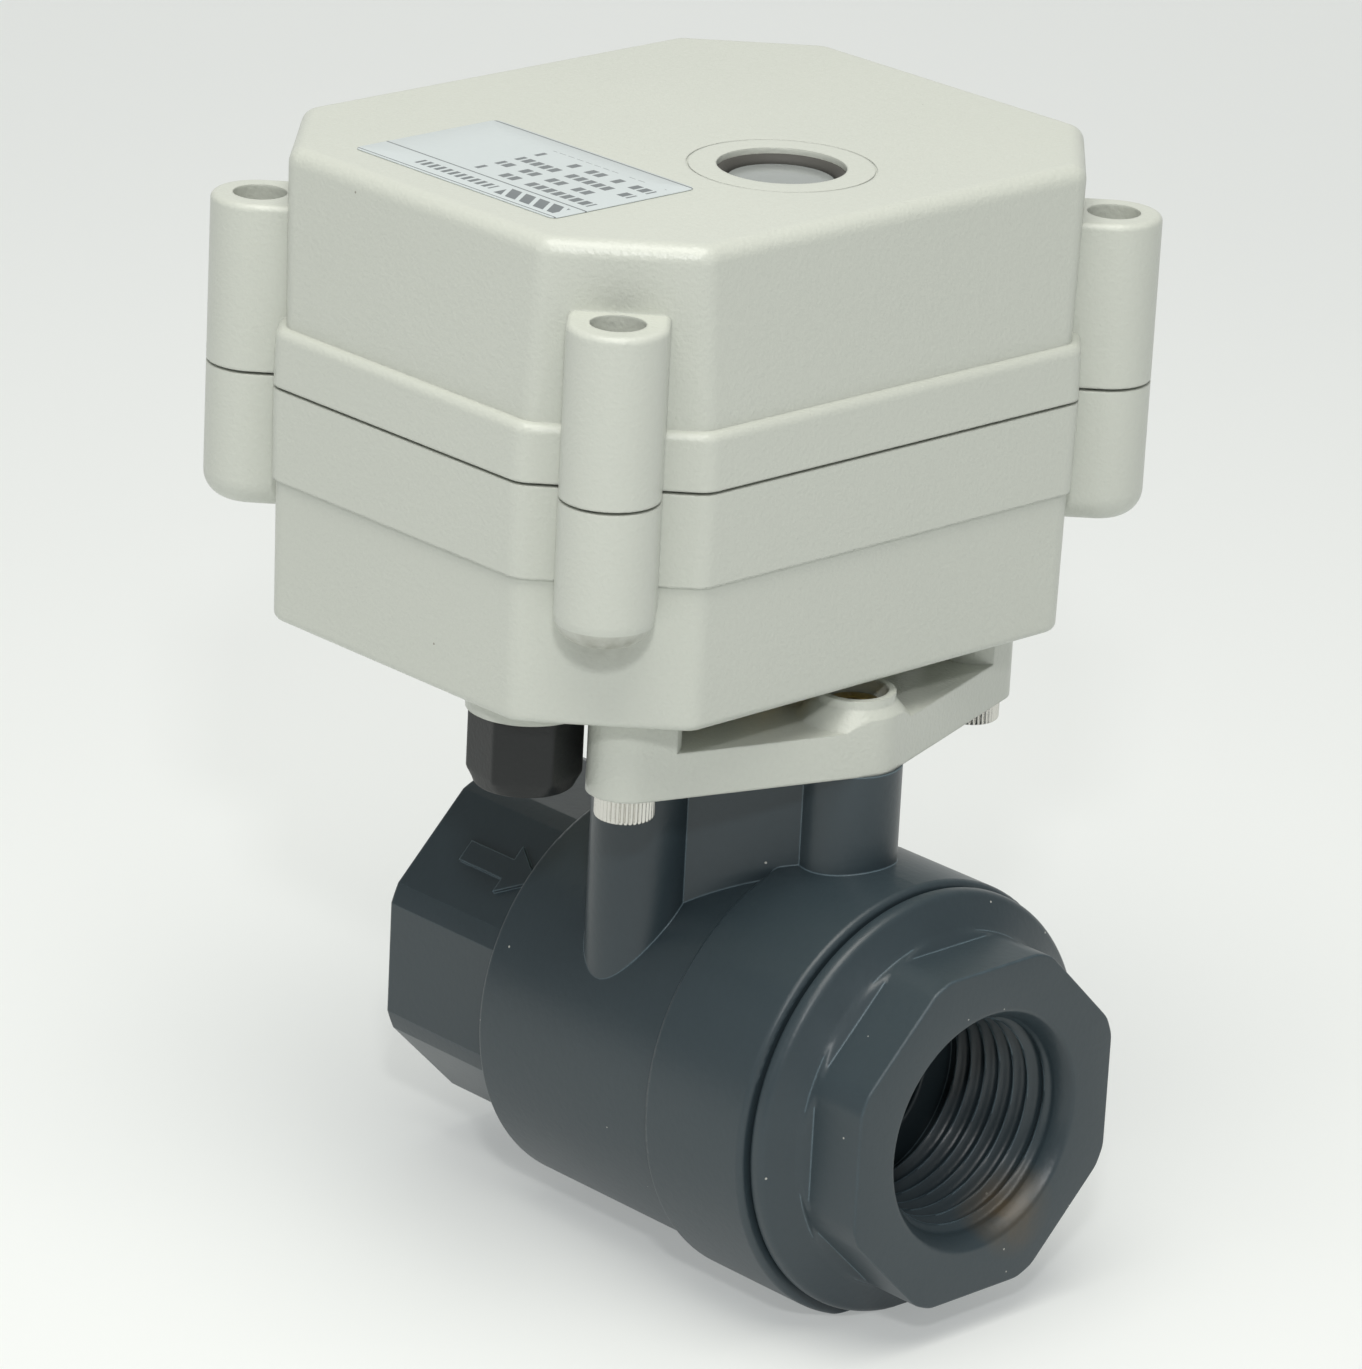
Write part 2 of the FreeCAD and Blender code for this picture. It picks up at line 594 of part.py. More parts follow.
def cam(end, rising, z0, z1):
    """Disc cam whose edge climbs, or falls, evenly by CAM_LIFT over the quarter turn that ends
    at the angle end. A 30 degree dwell stands before and after, then the lower radius."""
    low = CAM_HIGH - CAM_LIFT
    levels = (low, CAM_HIGH) if rising else (CAM_HIGH, low)
    steps = 6

    def at(r, angle):
        return V(*polar(r, angle), z0)

    def arc(r, a0, a1):
        return Part.Arc(at(r, a0), at(r, (a0 + a1) / 2), at(r, a1)).toShape()

    climb = Part.BSplineCurve()
    parts = [k / steps for k in range(steps + 1)]
    climb.interpolate([at(levels[0] + (levels[1] - levels[0]) * t, end - 90.0 + 90.0 * t) for t in parts])
    edges = [arc(levels[0], end - 120.0, end - 90.0), climb.toShape(), arc(levels[1], end, end + 30.0)]
    if rising:
        edges.append(Part.LineSegment(at(CAM_HIGH, end + 30.0), at(low, end + 30.0)).toShape())
    edges.append(arc(low, end + 30.0, end + 240.0))
    if not rising:
        edges.append(Part.LineSegment(at(low, end + 240.0), at(CAM_HIGH, end + 240.0)).toShape())
    face = Part.Face(Part.Wire(edges))
    return face.extrude(V(0, 0, z1 - z0)).cut(disc(SHAFT_R, z0 - 1, z1 + 1))


def cam_clip():
    return ring(6.2, SHAFT_R, CAM_OPEN_Z[1], CAM_OPEN_Z[1] + 0.8)


def switch_case(side, lever_z):
    """Snap switch: a block with two ears that carry the lever's pin."""
    case = block(-1.4, 11.4, *sorted((side * 10.8, side * 17.2)), BOARD_TOP, BOARD_TOP + 6.9)
    ear_x = (LEVER_PIVOT_X - 0.7, LEVER_PIVOT_X + 0.7)
    ear_y = sorted((side * (LEVER_PIVOT_Y - 0.7), side * 10.9))
    ears = [block(*ear_x, *ear_y, z, z + 0.6) for z in (lever_z - 0.8, lever_z + LEVER_H + 0.2)]
    pin = disc(LEVER_PIN_R, lever_z - 0.5, lever_z + LEVER_H + 0.5, LEVER_PIVOT_X, side * LEVER_PIVOT_Y)
    return join(case, *ears, pin)


def switch_lever(side, z):
    """Leaf lever on its pin, pressed in, with its face one gap off the cam's lobe."""
    pivot = (LEVER_PIVOT_X, side * LEVER_PIVOT_Y)
    face = CAM_HIGH + CAM_GAP
    leaf_y = sorted((side * face, side * (face + LEVER_T)))
    leaf = block(-1.6, LEVER_PIVOT_X - 0.45, *leaf_y, z, z + LEVER_H)
    lever = join(leaf, disc(0.58, z, z + LEVER_H, *pivot))
    return lever.cut(disc(LEVER_PIN_R + RUNNING, z - 1, z + LEVER_H + 1, *pivot))


def terminal_block():
    low = BOARD_TOP
    body = block(-8.6, 3.4, -26.6, -19.6, low, low + 8.0)
    wells = [disc(1.3, low + 4.5, low + 9, -6.6 + 4.0 * k, -21.6) for k in range(3)]
    starts = [-7.8 + 4.0 * k for k in range(3)]
    throats = [block(x, x + 2.4, -27, -24, low + 1.2, low + 4.0) for x in starts]
    return body.cut(compound(wells + throats))


def relay():
    low = BOARD_TOP
    case = block(-8.4, 3.6, 19.2, 26.6, low, low + 9.5)
    return case.makeFillet(0.6, upright_edges(case))


def capacitor():
    low = BOARD_TOP
    can = disc(2.9, low, low + 9.0, -7.2, 13.6)
    return can.makeFillet(0.5, edges_at(can, low + 9.0))


# --- gland -----------------------------------------------------------------------------
def gland_body():
    return ring(GLAND_BODY_R, GLAND_HOLE_R, GLAND_NUT_Z + 3.4, FLOOR_TOP + 5.6, GLAND_X, GLAND_Y)


def gland_nut():
    here = (GLAND_X, GLAND_Y)
    half = GLAND_NUT_FLATS / 2
    hexagon = prism(regular(6, GLAND_NUT_FLATS, *here, GLAND_NUT_TURN), GLAND_NUT_Z, GLAND_COLLAR_Z)
    chamfer = Part.makeCone(half + 0.1, half + 2.1, 1.4, V(*here, GLAND_NUT_Z))
    rest = disc(half + 2.1, GLAND_NUT_Z + 1.4, GLAND_COLLAR_Z, *here)
    tools = [disc(GLAND_BODY_R + 0.05, GLAND_NUT_Z + 2.0, GLAND_COLLAR_Z + 1, *here)]
    tools += [disc(GLAND_HOLE_R, GLAND_NUT_Z - 1, GLAND_NUT_Z + 3, *here)]
    return hexagon.common(join(chamfer, rest)).cut(compound(tools))


def gland_seal():
    return ring(GLAND_BODY_R, GLAND_HOLE_R, GLAND_NUT_Z + 2.0, GLAND_NUT_Z + 3.4, GLAND_X, GLAND_Y)


# --- bracket ---------------------------------------------------------------------------
def post_places():
    return [polar(POST_RING_R, a) for a in (0.0, 90.0, 180.0, 270.0)]


def bracket_lug_places():
    return [(LUG_X, LUG_Y), (LUG_X, -LUG_Y)]


def bracket_outline(z0, z1):
    """Diamond wrapped round two bosses on the pipe's line and two lugs beside it."""
    bosses = [(POST_RING_R, 0, BOSS_R), (-POST_RING_R, 0, BOSS_R)]
    lugs = [(*place, LUG_R) for place in bracket_lug_places()]
    return hull_of_discs([bosses[0], lugs[0], bosses[1], lugs[1]], z0, z1)


def mounting_bracket():
    tall = bracket_outline(NECK_TOP, BASE_BOTTOM)
    pads = [disc(PAD_R, NECK_TOP, BASE_BOTTOM, *place) for place in bracket_lug_places()]
    pockets = [disc(POCKET_OUT_R, NECK_TOP, POCKET_TOP, *place) for place in post_places()]
    flares = [Part.makeCone(POCKET_OUT_R + 1.5, POCKET_OUT_R, 1.8, V(*place, PLATE_TOP))
              for place in post_places()]
    raised = tall.common(compound(pads + pockets + flares))
    solid = join(bracket_outline(NECK_TOP, PLATE_TOP), raised)
    tools = [disc(HUB_BORE_R, NECK_TOP - 1, POCKET_TOP + 1)]
    for place in post_places():
        tools += [disc(POCKET_IN_R, POCKET_FLOOR, POCKET_TOP + 1, *place)]
        tools += [disc(M3_CLEAR_R, NECK_TOP - 1, POCKET_TOP, *place)]
    for place in bracket_lug_places():
        tools += [disc(M3_CLEAR_R, NECK_TOP - 1, BASE_BOTTOM + 1, *place)]
        tools += [disc(M3_HEAD_R + 0.15, NECK_TOP - 1, LUG_SEAT, *place)]
    return solid.cut(compound(tools))


def bracket_screws():
    head = (M3_HEAD_R, M3_HEAD_H)
    shank = (M3_R, 10.0)
    return compound([socket_screw(*place, LUG_SEAT, -1, head, shank) for place in bracket_lug_places()])


def valve_screws():
    head = (M3_HEAD_R, M3_HEAD_H)
    shank = (M3_R, 11.0)
    return compound([socket_screw(*place, POCKET_FLOOR, 1, head, shank) for place in post_places()])


def drive_coupler():
    sleeve = disc(6.4, NECK_TOP + 0.3, BASE_BOTTOM - 0.6)
    return sleeve.cut(square_end(SQUARE, NECK_TOP - 1, BASE_BOTTOM + 1))


# --- valve -----------------------------------------------------------------------------
def end_octagon(x0, x1):
    """Octagonal end along the pipe with its corners turned down."""
    corners = [V(x0, y, PIPE_Z + z) for y, z in regular(8, END_FLATS, turn=22.5)]
    outline = Part.Face(Part.makePolygon(corners + corners[:1]))
    return outline.extrude(V(x1 - x0, 0, 0)).common(pipe(END_TURNED_R, x0, x1))


def port_cut(face, inward):
    """Thread bore with its lead-in, from an end face towards the ball."""
    a, b = sorted((face - inward, face + inward * PORT_DEPTH))
    bore = pipe(PORT_R, a, b)
    deep = face + inward * MOUTH_DEPTH
    if inward > 0:
        mouth = pipe_cone(MOUTH_R, PORT_R, face, deep)
    else:
        mouth = pipe_cone(PORT_R, MOUTH_R, deep, face)
    return join(bore, mouth)


def edges_across(shape, x):
    """Edges that lie in the plane x, square to the pipe."""
    return [e for e in shape.Edges if abs(e.BoundBox.XMin - x) + abs(e.BoundBox.XMax - x) < 0.01]


def flow_arrow():
    """Raised arrow on the rear end's upper flat, on the gland's side."""
    lower = [(-25.5, -1.1), (-19.5, -1.1), (-19.5, -2.6), (-15.6, 0.0)]
    outline = lower + [(x, -y) for x, y in reversed(lower[:3])]
    flat = PIPE_Z + END_FLATS / 2
    mark = prism(outline, flat - 1, flat + 0.35)
    mark.rotate(V(0, 0, PIPE_Z), V(1, 0, 0), 45.0)
    return mark


def above_floor():
    """Block that keeps what lies above the surface the valve stands on."""
    return block(REAR_END - 1, FRONT_END + 1, -30, 30, 0, NECK_TOP + 1)


def valve_outside():
    """Body before it is bored: rear end, barrel, collar, foot and the neck with its posts."""
    rear = end_octagon(REAR_END, BODY_REAR + 1)
    rear = rear.makeFillet(0.35, edges_across(rear, REAR_END))
    barrel = pipe(BARREL_R, BODY_REAR, BODY_STEP + 1)
    barrel = barrel.makeFillet(0.5, edges_across(barrel, BODY_REAR))
    collar = pipe(COLLAR_R, BODY_STEP, BODY_FRONT)
    collar = collar.makeFillet(0.6, edges_across(collar, BODY_STEP) + edges_across(collar, BODY_FRONT))
    foot = block(BODY_REAR + 0.5, BODY_STEP + 1, -FOOT_HALF_Y, FOOT_HALF_Y, 0, 3)
    posts = [disc(POST_R, PIPE_Z, NECK_TOP, *place) for place in post_places()]
    neck = join(prism(regular(4, 2 * NECK_FLAT), PIPE_Z, NECK_TOP), *posts)
    return join(barrel, rear, collar, foot, neck).common(above_floor())


def valve_body():
    shell = join(valve_outside(), flow_arrow())
    tools = [port_cut(REAR_END, 1), pipe(WATERWAY_R, REAR_END, 0)]
    tools += [pipe(CAVITY_R, -CAVITY_HALF, CAVITY_HALF + 0.6)]
    tools += [pipe(SPIGOT_R + 0.02, CAVITY_HALF + 0.3, BODY_FRONT + 1)]
    tools += [disc(STEM_R + RUNNING, PIPE_Z, NECK_TOP + 1)]
    tools += [disc(STEM_COLLAR_R, PIPE_Z, PIPE_Z + 14.5)]
    tools += [disc(M3_PILOT_R, NECK_TOP - 10.0, NECK_TOP + 1, *place) for place in post_places()]
    return shell.cut(compound(tools))


def turned(profile):
    """Solid turned about the pipe axis from (x, radius) points, closed along the axis."""
    points = [V(profile[0][0], 0, PIPE_Z)]
    points += [V(x, 0, PIPE_Z + r) for x, r in profile]
    points += [V(profile[-1][0], 0, PIPE_Z), points[0]]
    return Part.Face(Part.makePolygon(points)).revolve(V(0, 0, PIPE_Z), V(1, 0, 0), 360)


def end_connector():
    edge = 0.7
    profile = [(FLANGE_BACK, FLANGE_R), (FLANGE_EDGE - edge, FLANGE_R), (FLANGE_EDGE, FLANGE_R - edge)]
    profile += [(SHOULDER_X, SHOULDER_R), (SHOULDER_X + 1.2, END_TURNED_R)]
    flange = turned(profile)
    nose = end_octagon(FLANGE_BACK, FRONT_END)
    nose = nose.makeFillet(0.35, edges_across(nose, FRONT_END))
    spigot = pipe(SPIGOT_R, CAVITY_HALF + 0.3, FLANGE_BACK + 0.1)
    flats = end_octagon(SHOULDER_X, SHOULDER_X + 2)
    shoulder = flange.cut(pipe(FLANGE_R, SHOULDER_X, SHOULDER_X + 2).cut(flats))
    solid = join(shoulder, nose, spigot).common(above_floor())
    tools = [port_cut(FRONT_END, -1), pipe(WATERWAY_R, CAVITY_HALF - 1, FRONT_END)]
    tools += [pipe_ring(SPIGOT_R + 1, SPIGOT_R - 1.2, *SPIGOT_SEAL_X)]
    return solid.cut(compound(tools))


def connector_seal():
    return pipe_ring(SPIGOT_R, SPIGOT_R - 1.18, SPIGOT_SEAL_X[0] + 0.05, SPIGOT_SEAL_X[1] - 0.05)


def ball():
    """Ball of the shut valve: its bore lies across the pipe, with a slot on top for the stem."""
    sphere = Part.makeSphere(BALL_R, V(0, 0, PIPE_Z))
    bore = Part.makeCylinder(WATERWAY_R, 4 * BALL_R, V(0, -2 * BALL_R, PIPE_Z), V(0, 1, 0))
    slot = block(-BALL_R, BALL_R, -1.6, 1.6, PIPE_Z + 9.0, PIPE_Z + BALL_R + 1)
    return sphere.cut(bore).cut(slot)


def seat_ring(side):
    a, b = sorted((side * CAVITY_HALF, side * 7.4))
    blank = pipe_ring(CAVITY_R - 0.05, WATERWAY_R, a, b)
    return blank.cut(Part.makeSphere(BALL_R + RUNNING, V(0, 0, PIPE_Z)))


def stem():
    tang = block(-4.6, 4.6, -1.55, 1.55, PIPE_Z + 9.3, PIPE_Z + 12.6)
    tang = tang.common(disc(5.4, PIPE_Z, PIPE_Z + 20))
    collar = disc(STEM_COLLAR_R - 0.2, PIPE_Z + 12.4, PIPE_Z + 14.2)
    shaft = disc(STEM_R, PIPE_Z + 14.0, NECK_TOP + 0.2)
    body = join(tang, collar, shaft, square_end(SQUARE, NECK_TOP, NECK_TOP + 3.9))
    return body.cut(compound([seal_groove(STEM_R, z) for z in STEM_SEAL_Z]))


def stem_seals():
    return compound([seal_in_groove(STEM_R, z) for z in STEM_SEAL_Z])


# --- parts -----------------------------------------------------------------------------
os.makedirs("parts", exist_ok=True)

PARTS = {
    "base_housing": base_housing,
    "top_cover": top_cover,
    "cover_gasket": cover_gasket,
    "cover_screws": cover_screws,
    "window_lens": window_lens,
    "window_seal": window_seal,
    "name_plate": name_plate,
    "indicator_disc": indicator_disc,
    "indicator_pointer": indicator_pointer,
    "output_shaft": output_shaft,
    "shaft_seal": shaft_seal,
    "lower_bush": lower_bush,
    "upper_bush": upper_bush,
    "output_gear": output_gear,
    "compound_gear_2": compound_gear_2,
    "compound_gear_1": compound_gear_1,
    "motor_pinion": motor_pinion,
    "gear_pin_2": lambda: gear_pin(AXIS_2),
    "gear_pin_1": lambda: gear_pin(AXIS_1),
    "gear_plate": gear_plate,
    "plate_screws": plate_screws,
    "motor_can": motor_can,
    "motor_end_cap": motor_end_cap,
    "motor_bearing": motor_bearing,
    "motor_magnets": motor_magnets,
    "motor_rotor": motor_rotor,
    "motor_screws": motor_screws,
    "circuit_board": circuit_board,
    "board_spacers": board_spacers,
    "terminal_block": terminal_block,
    "relay": relay,
    "capacitor": capacitor,
    "cam_closed": lambda: cam(90.0, True, *CAM_CLOSED_Z),
    "cam_open": lambda: cam(270.0, False, *CAM_OPEN_Z),
    "cam_clip": cam_clip,
    "switch_closed": lambda: switch_case(1, LEVER_CLOSED_Z),
    "switch_open": lambda: switch_case(-1, LEVER_OPEN_Z),
    "lever_closed": lambda: switch_lever(1, LEVER_CLOSED_Z),
    "lever_open": lambda: switch_lever(-1, LEVER_OPEN_Z),
    "gland_body": gland_body,
    "gland_nut": gland_nut,
    "gland_seal": gland_seal,
    "mounting_bracket": mounting_bracket,
    "bracket_screws": bracket_screws,
    "valve_screws": valve_screws,
    "drive_coupler": drive_coupler,
    "valve_body": valve_body,
    "end_connector": end_connector,
    "connector_seal": connector_seal,
    "ball": ball,
    "seat_ring_front": lambda: seat_ring(1),
    "seat_ring_rear": lambda: seat_ring(-1),
    "stem": stem,
    "stem_seals": stem_seals,
}

for part_name, make in PARTS.items():
    save(part_name, make())
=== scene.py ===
import json
import math

import bpy
import numpy as np
from bpy.props import FloatProperty, FloatVectorProperty, IntProperty, PointerProperty
from mathutils import Matrix, Vector


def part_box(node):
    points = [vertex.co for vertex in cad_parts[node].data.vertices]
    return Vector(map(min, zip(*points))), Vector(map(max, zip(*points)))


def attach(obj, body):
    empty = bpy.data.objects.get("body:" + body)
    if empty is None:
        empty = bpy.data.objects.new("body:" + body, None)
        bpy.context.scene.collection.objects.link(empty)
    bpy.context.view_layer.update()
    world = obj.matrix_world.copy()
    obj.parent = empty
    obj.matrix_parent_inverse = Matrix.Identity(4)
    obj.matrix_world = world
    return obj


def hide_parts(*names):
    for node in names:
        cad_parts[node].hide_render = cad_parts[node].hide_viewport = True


bl_info = {
    "name": "Motorized Valve Actuator",
    "version": (1, 0, 0),
    "blender": (4, 5, 0),
    "location": "View3D > Sidebar > Valve",
    "description": "Surfaces, finishes and stage for a geared actuator on a plastic ball valve",
    "category": "Object",
}

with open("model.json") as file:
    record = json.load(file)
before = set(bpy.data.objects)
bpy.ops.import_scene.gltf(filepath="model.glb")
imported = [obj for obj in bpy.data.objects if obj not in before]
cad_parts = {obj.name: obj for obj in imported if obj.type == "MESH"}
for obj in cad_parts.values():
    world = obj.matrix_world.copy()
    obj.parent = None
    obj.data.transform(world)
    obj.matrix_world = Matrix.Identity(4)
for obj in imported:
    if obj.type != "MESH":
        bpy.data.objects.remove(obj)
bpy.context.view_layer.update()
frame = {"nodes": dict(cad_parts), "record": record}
SLOT_OF_NODE = {row["node"]: row["material_slot"] for row in frame["record"]["subparts"]}
MM = 0.001
ROOT = "housing"


def box_mm(node):
    """Lowest and highest corner of a CAD node's box, in millimetres."""
    low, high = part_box(node)
    return low / MM, high / MM


def centre_mm(node):
    """Middle of a CAD node's box, in millimetres."""
    low, high = box_mm(node)
    return (low + high) / 2


# Sizes in millimetres
PIPE_Z = centre_mm("end_connector").z
WATERWAY_R = 7.2
PORT_BORE_R = 10.48
THREAD_START = 1.5          # from a port's face to the first turn
SLEEVE_WALL = 0.35
SPIGOT_R = 16.2             # end connector, from the spigot to the front face
FLANGE_R = 20.2
OCTAGON_APOTHEM = 16.0
CORNER_R = 16.92
SHOULDER_X = 27.0
NOSE_X = 27.4
NOSE_BEVEL = 0.2
MOUTH_R, THROAT_R = 13.2, 11.45
SCREW_HEAD = (2.75, 3.0)    # radius and height
SMALL_HEAD = (2.25, 2.4)
NUT_APOTHEM, NUT_CORNER_R, NUT_END_R = 4.575, 5.22, 4.45
NUT_TURN = math.radians(16.0)
NUT_BORE_R, NUT_COLLAR_R = 3.0, 2.2
LENS_R, LENS_NECK_R, LENS_CROWN_R = 7.15, 4.9, 4.6
SEAL_IN_R, SEAL_OUT_R = 4.97, 5.83
DIAL_R, DIAL_HUB_R = 4.95, 3.4
UNBOUNDED_R = 60.0          # radius that leaves a least() to its other term


# --- sizes and colours a user may change -------------------------------------------------
class ThreadSizes(bpy.types.PropertyGroup):
    """Thread of the two ports"""
    pitch: FloatProperty(name="Pitch", description="Thread pitch in millimetres", default=1.814,
                         min=0.5, max=3.0)
    depth: FloatProperty(name="Depth", description="Height of the thread in millimetres",
                         default=0.85, min=0.1, max=1.3)
    length: FloatProperty(name="Length", description="Threaded length of a port in millimetres",
                          default=13.3, min=4.0, max=13.5)
    rows: IntProperty(name="Rows", description="Mesh rows in one turn of the thread", default=12,
                      min=6, max=24)
    columns: IntProperty(name="Columns", description="Mesh columns round a port", default=256,
                         min=64, max=512)


class ScrewSizes(bpy.types.PropertyGroup):
    """Heads of the socket screws"""
    knurls: IntProperty(name="Knurls", description="Knurls round a cap screw's head", default=38,
                        min=12, max=60)
    knurl_depth: FloatProperty(name="Knurl depth", description="As a share of the head's radius",
                               default=0.036, min=0.0, max=0.08, subtype="FACTOR")
    edge: FloatProperty(name="Edge", description="Rounding of a head's edge in millimetres",
                        default=0.3, min=0.05, max=0.6)


class FinishColours(bpy.types.PropertyGroup):
    """Colours of the main finishes"""
    housing: FloatVectorProperty(name="Housing", description="Moulded light grey",
                                 subtype="COLOR", default=(0.555, 0.575, 0.520), min=0.0, max=1.0)
    valve: FloatVectorProperty(name="Valve", description="Moulded dark blue-grey",
                               subtype="COLOR", default=(0.031, 0.046, 0.055), min=0.0, max=1.0)
    nylon: FloatVectorProperty(name="Nylon", description="Black nylon of the gland",
                               subtype="COLOR", default=(0.005, 0.0065, 0.007), min=0.0, max=1.0)
    foil: FloatVectorProperty(name="Label", description="Pale foil of the label",
                              subtype="COLOR", default=(0.60, 0.65, 0.66), min=0.0, max=1.0)
    pointer: FloatVectorProperty(name="Pointer", description="Position pointer",
                                 subtype="COLOR", default=(0.50, 0.03, 0.02), min=0.0, max=1.0)


class StageSettings(bpy.types.PropertyGroup):
    """Camera, lights and floor"""
    azimuth: FloatProperty(name="Azimuth", description="Camera's turn round the object",
                           unit="ROTATION", default=math.radians(46.092))
    elevation: FloatProperty(name="Elevation", description="Camera's height above the horizon",
                             unit="ROTATION", default=math.radians(20.081))
    roll: FloatProperty(name="Roll", description="Camera's tilt about its own axis",
                        unit="ROTATION", default=math.radians(2.970))
    distance: FloatProperty(name="Distance", description="Camera to target", unit="LENGTH",
                            default=0.62)
    target: FloatVectorProperty(name="Target", description="Point the camera looks at",
                                subtype="XYZ", unit="LENGTH", default=(0.00345, -0.01244, 0.05653))
    lens: FloatProperty(name="Lens", description="Focal length in millimetres", default=182.49)
    key: FloatProperty(name="Key", description="Power of the overhead light in watts", default=4.9)
    fill: FloatProperty(name="Fill", description="Power of the front light in watts", default=0.35)
    glint: FloatProperty(name="Glint", default=1.2,
                         description="Power of the small light over the camera in watts")
    sky: FloatProperty(name="Surround", description="Strength of the pale surround", default=0.27)


# --- meshes from arrays ------------------------------------------------------------------
def soften(corners, radius, steps=5, closed=True):
    """Rounds the corners of a line of points: each corner gives way to a quadratic Bezier curve
    that leaves one side and meets the next at the given radius, or at 0.45 of a shorter side."""
    p = np.asarray(corners, float)
    before, after = np.roll(p, 1, 0) - p, np.roll(p, -1, 0) - p
    reach_in = np.minimum(radius, 0.45 * np.linalg.norm(before, axis=1))
    reach_out = np.minimum(radius, 0.45 * np.linalg.norm(after, axis=1))
    if not closed:
        reach_in[[0, -1]] = 0
        reach_out[[0, -1]] = 0
    start = p + before / np.linalg.norm(before, axis=1)[:, None] * reach_in[:, None]
    end = p + after / np.linalg.norm(after, axis=1)[:, None] * reach_out[:, None]
    t = np.linspace(0, 1, steps)[None, :, None]
    curve = (1 - t) ** 2 * start[:, None] + 2 * t * (1 - t) * p[:, None] + t ** 2 * end[:, None]
    line = curve.reshape(-1, p.shape[1])
    keep = np.ones(len(line), bool)
    keep[1:] = np.linalg.norm(np.diff(line, axis=0), axis=1) > 1e-6
    return line[keep]


def shell(points, poles):
    """Vertices and faces of a closed shell from a grid of points (rows, columns, xyz). Columns
    close round on themselves. Rows close into a loop, or end in a pole at each end, the mean of
    that row. The sign of the volume, the sum of each triangle's triple product, turns the faces
    outwards."""
    rows, columns = points.shape[:2]
    index = np.arange(rows * columns).reshape(rows, columns)
    if not poles:
        index = np.vstack([index, index[:1]])
    low, high = index[:-1], index[1:]
    quads = np.stack([low, np.roll(low, -1, 1), np.roll(high, -1, 1), high], -1).reshape(-1, 4)
    vertices = points.reshape(-1, 3)
    triangles = np.zeros((0, 3), int)
    if poles:
        first, last = index[0], index[-1]
        vertices = np.vstack([vertices, points[0].mean(0), points[-1].mean(0)])
        a, b = np.full(columns, len(vertices) - 2), np.full(columns, len(vertices) - 1)
        triangles = np.vstack([np.stack([a, np.roll(first, -1), first], -1),
                               np.stack([b, last, np.roll(last, -1)], -1)])
    corners = np.vstack([quads[:, :3], quads[:, [0, 2, 3]], triangles])
    a, b, c = (vertices[corners[:, k]] for k in range(3))
    if np.einsum("ij,ij->i", a, np.cross(b, c)).sum() < 0:
        quads, triangles = quads[:, ::-1], triangles[:, ::-1]
    return vertices, quads, triangles


def make_piece(name, grids, slot, replaces=(), body=ROOT, poles=True, crease=38.0):
    """Puts one or more shells, each from a grid of points in millimetres, into one object."""
    vertices, faces, offset = [], [], 0
    for grid in grids:
        v, quads, triangles = shell(grid, poles)
        vertices.append(v * MM)
        faces += (quads + offset).tolist() + (triangles + offset).tolist()
        offset += len(v)
    mesh = bpy.data.meshes.new(name)
    mesh.from_pydata(np.vstack(vertices).tolist(), [], faces)
    mesh.polygons.foreach_set("use_smooth", np.ones(len(mesh.polygons), bool))
    mesh.set_sharp_from_angle(angle=math.radians(crease))
    mesh.validate()
    mesh.materials.append(finish(slot))
    piece = bpy.data.objects.new(name, mesh)
    bpy.context.scene.collection.objects.link(piece)
    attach(piece, body)
    if replaces:
        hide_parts(*replaces)


def finish(slot):
    """Material made for a slot."""
    return bpy.data.materials[slot + " finish"]


def angles(columns):
    """Row of equally spaced angles round a circle."""
    return np.linspace(0, 2 * np.pi, columns, endpoint=False)[None, :]


def polygon_radius(theta, sides, apothem):
    """Radius of a regular polygon in the direction theta: apothem over the cosine of the angle to
    the nearest flat's middle, which is at theta 0."""
    step = 2 * np.pi / sides
    away = (theta + step / 2) % step - step / 2
    return apothem / np.cos(away)


def least(a, b, sharpness=260.0):
    """Smooth minimum of two radii, the power mean of a large negative power, worked out as shares
    of the smaller one so that nothing underflows."""
    small = np.minimum(a, b)
    return small * ((a / small) ** -sharpness + (b / small) ** -sharpness) ** (-1 / sharpness)


def about_pipe(x, radius, theta):
    """Points at x along the pipe and a radius, which may vary with theta, about its axis."""
    x, radius, theta = np.broadcast_arrays(x, radius, theta)
    return np.stack([x, radius * np.cos(theta), PIPE_Z + radius * np.sin(theta)], -1)


def about_upright(x, y, z, radius, theta):
    """Points at a height z and a radius about an upright axis through x, y."""
    z, radius, theta = np.broadcast_arrays(z, radius, theta)
    return np.stack([x + radius * np.cos(theta), y + radius * np.sin(theta), z], -1)


def turned_about_stem(profile, columns=128):
    """Grid of a profile of height and radius, turned about the stem's upright axis."""
    return about_upright(0, 0, profile[:, :1], profile[:, 1:], angles(columns))


def thread_radius(travel, theta, sizes, hand):
    """Wall radius of a tapped bore at a travel in from its start: the bore's radius less a wave
    of the thread's depth, raised to a power so that its crests are narrow. The wave's phase is
    travel over pitch plus the share of a turn, and it fades in over the first turn and out over
    the last half turn."""
    crest_power = 1.8
    phase = travel / sizes.pitch + hand * theta / (2 * np.pi)
    wave = 0.5 - 0.5 * np.cos(2 * np.pi * phase)
    fade_in = np.clip(travel / sizes.pitch, 0, 1)
    fade_out = np.clip((sizes.length - travel) / (0.5 * sizes.pitch), 0, 1)
    return PORT_BORE_R - sizes.depth * wave ** crest_power * fade_in * fade_out


def thread_rows(sizes):
    """Column of travels down a thread, a fixed number to each turn."""
    turns = sizes.length / sizes.pitch
    return np.linspace(0, sizes.length, int(turns * sizes.rows))[:, None]


# --- shader groups -----------------------------------------------------------------------
def feed(tree, socket, value):
    """Links a socket's value, or sets a plain one."""
    if isinstance(value, bpy.types.NodeSocket):
        tree.links.new(value, socket)
    else:
        socket.default_value = value


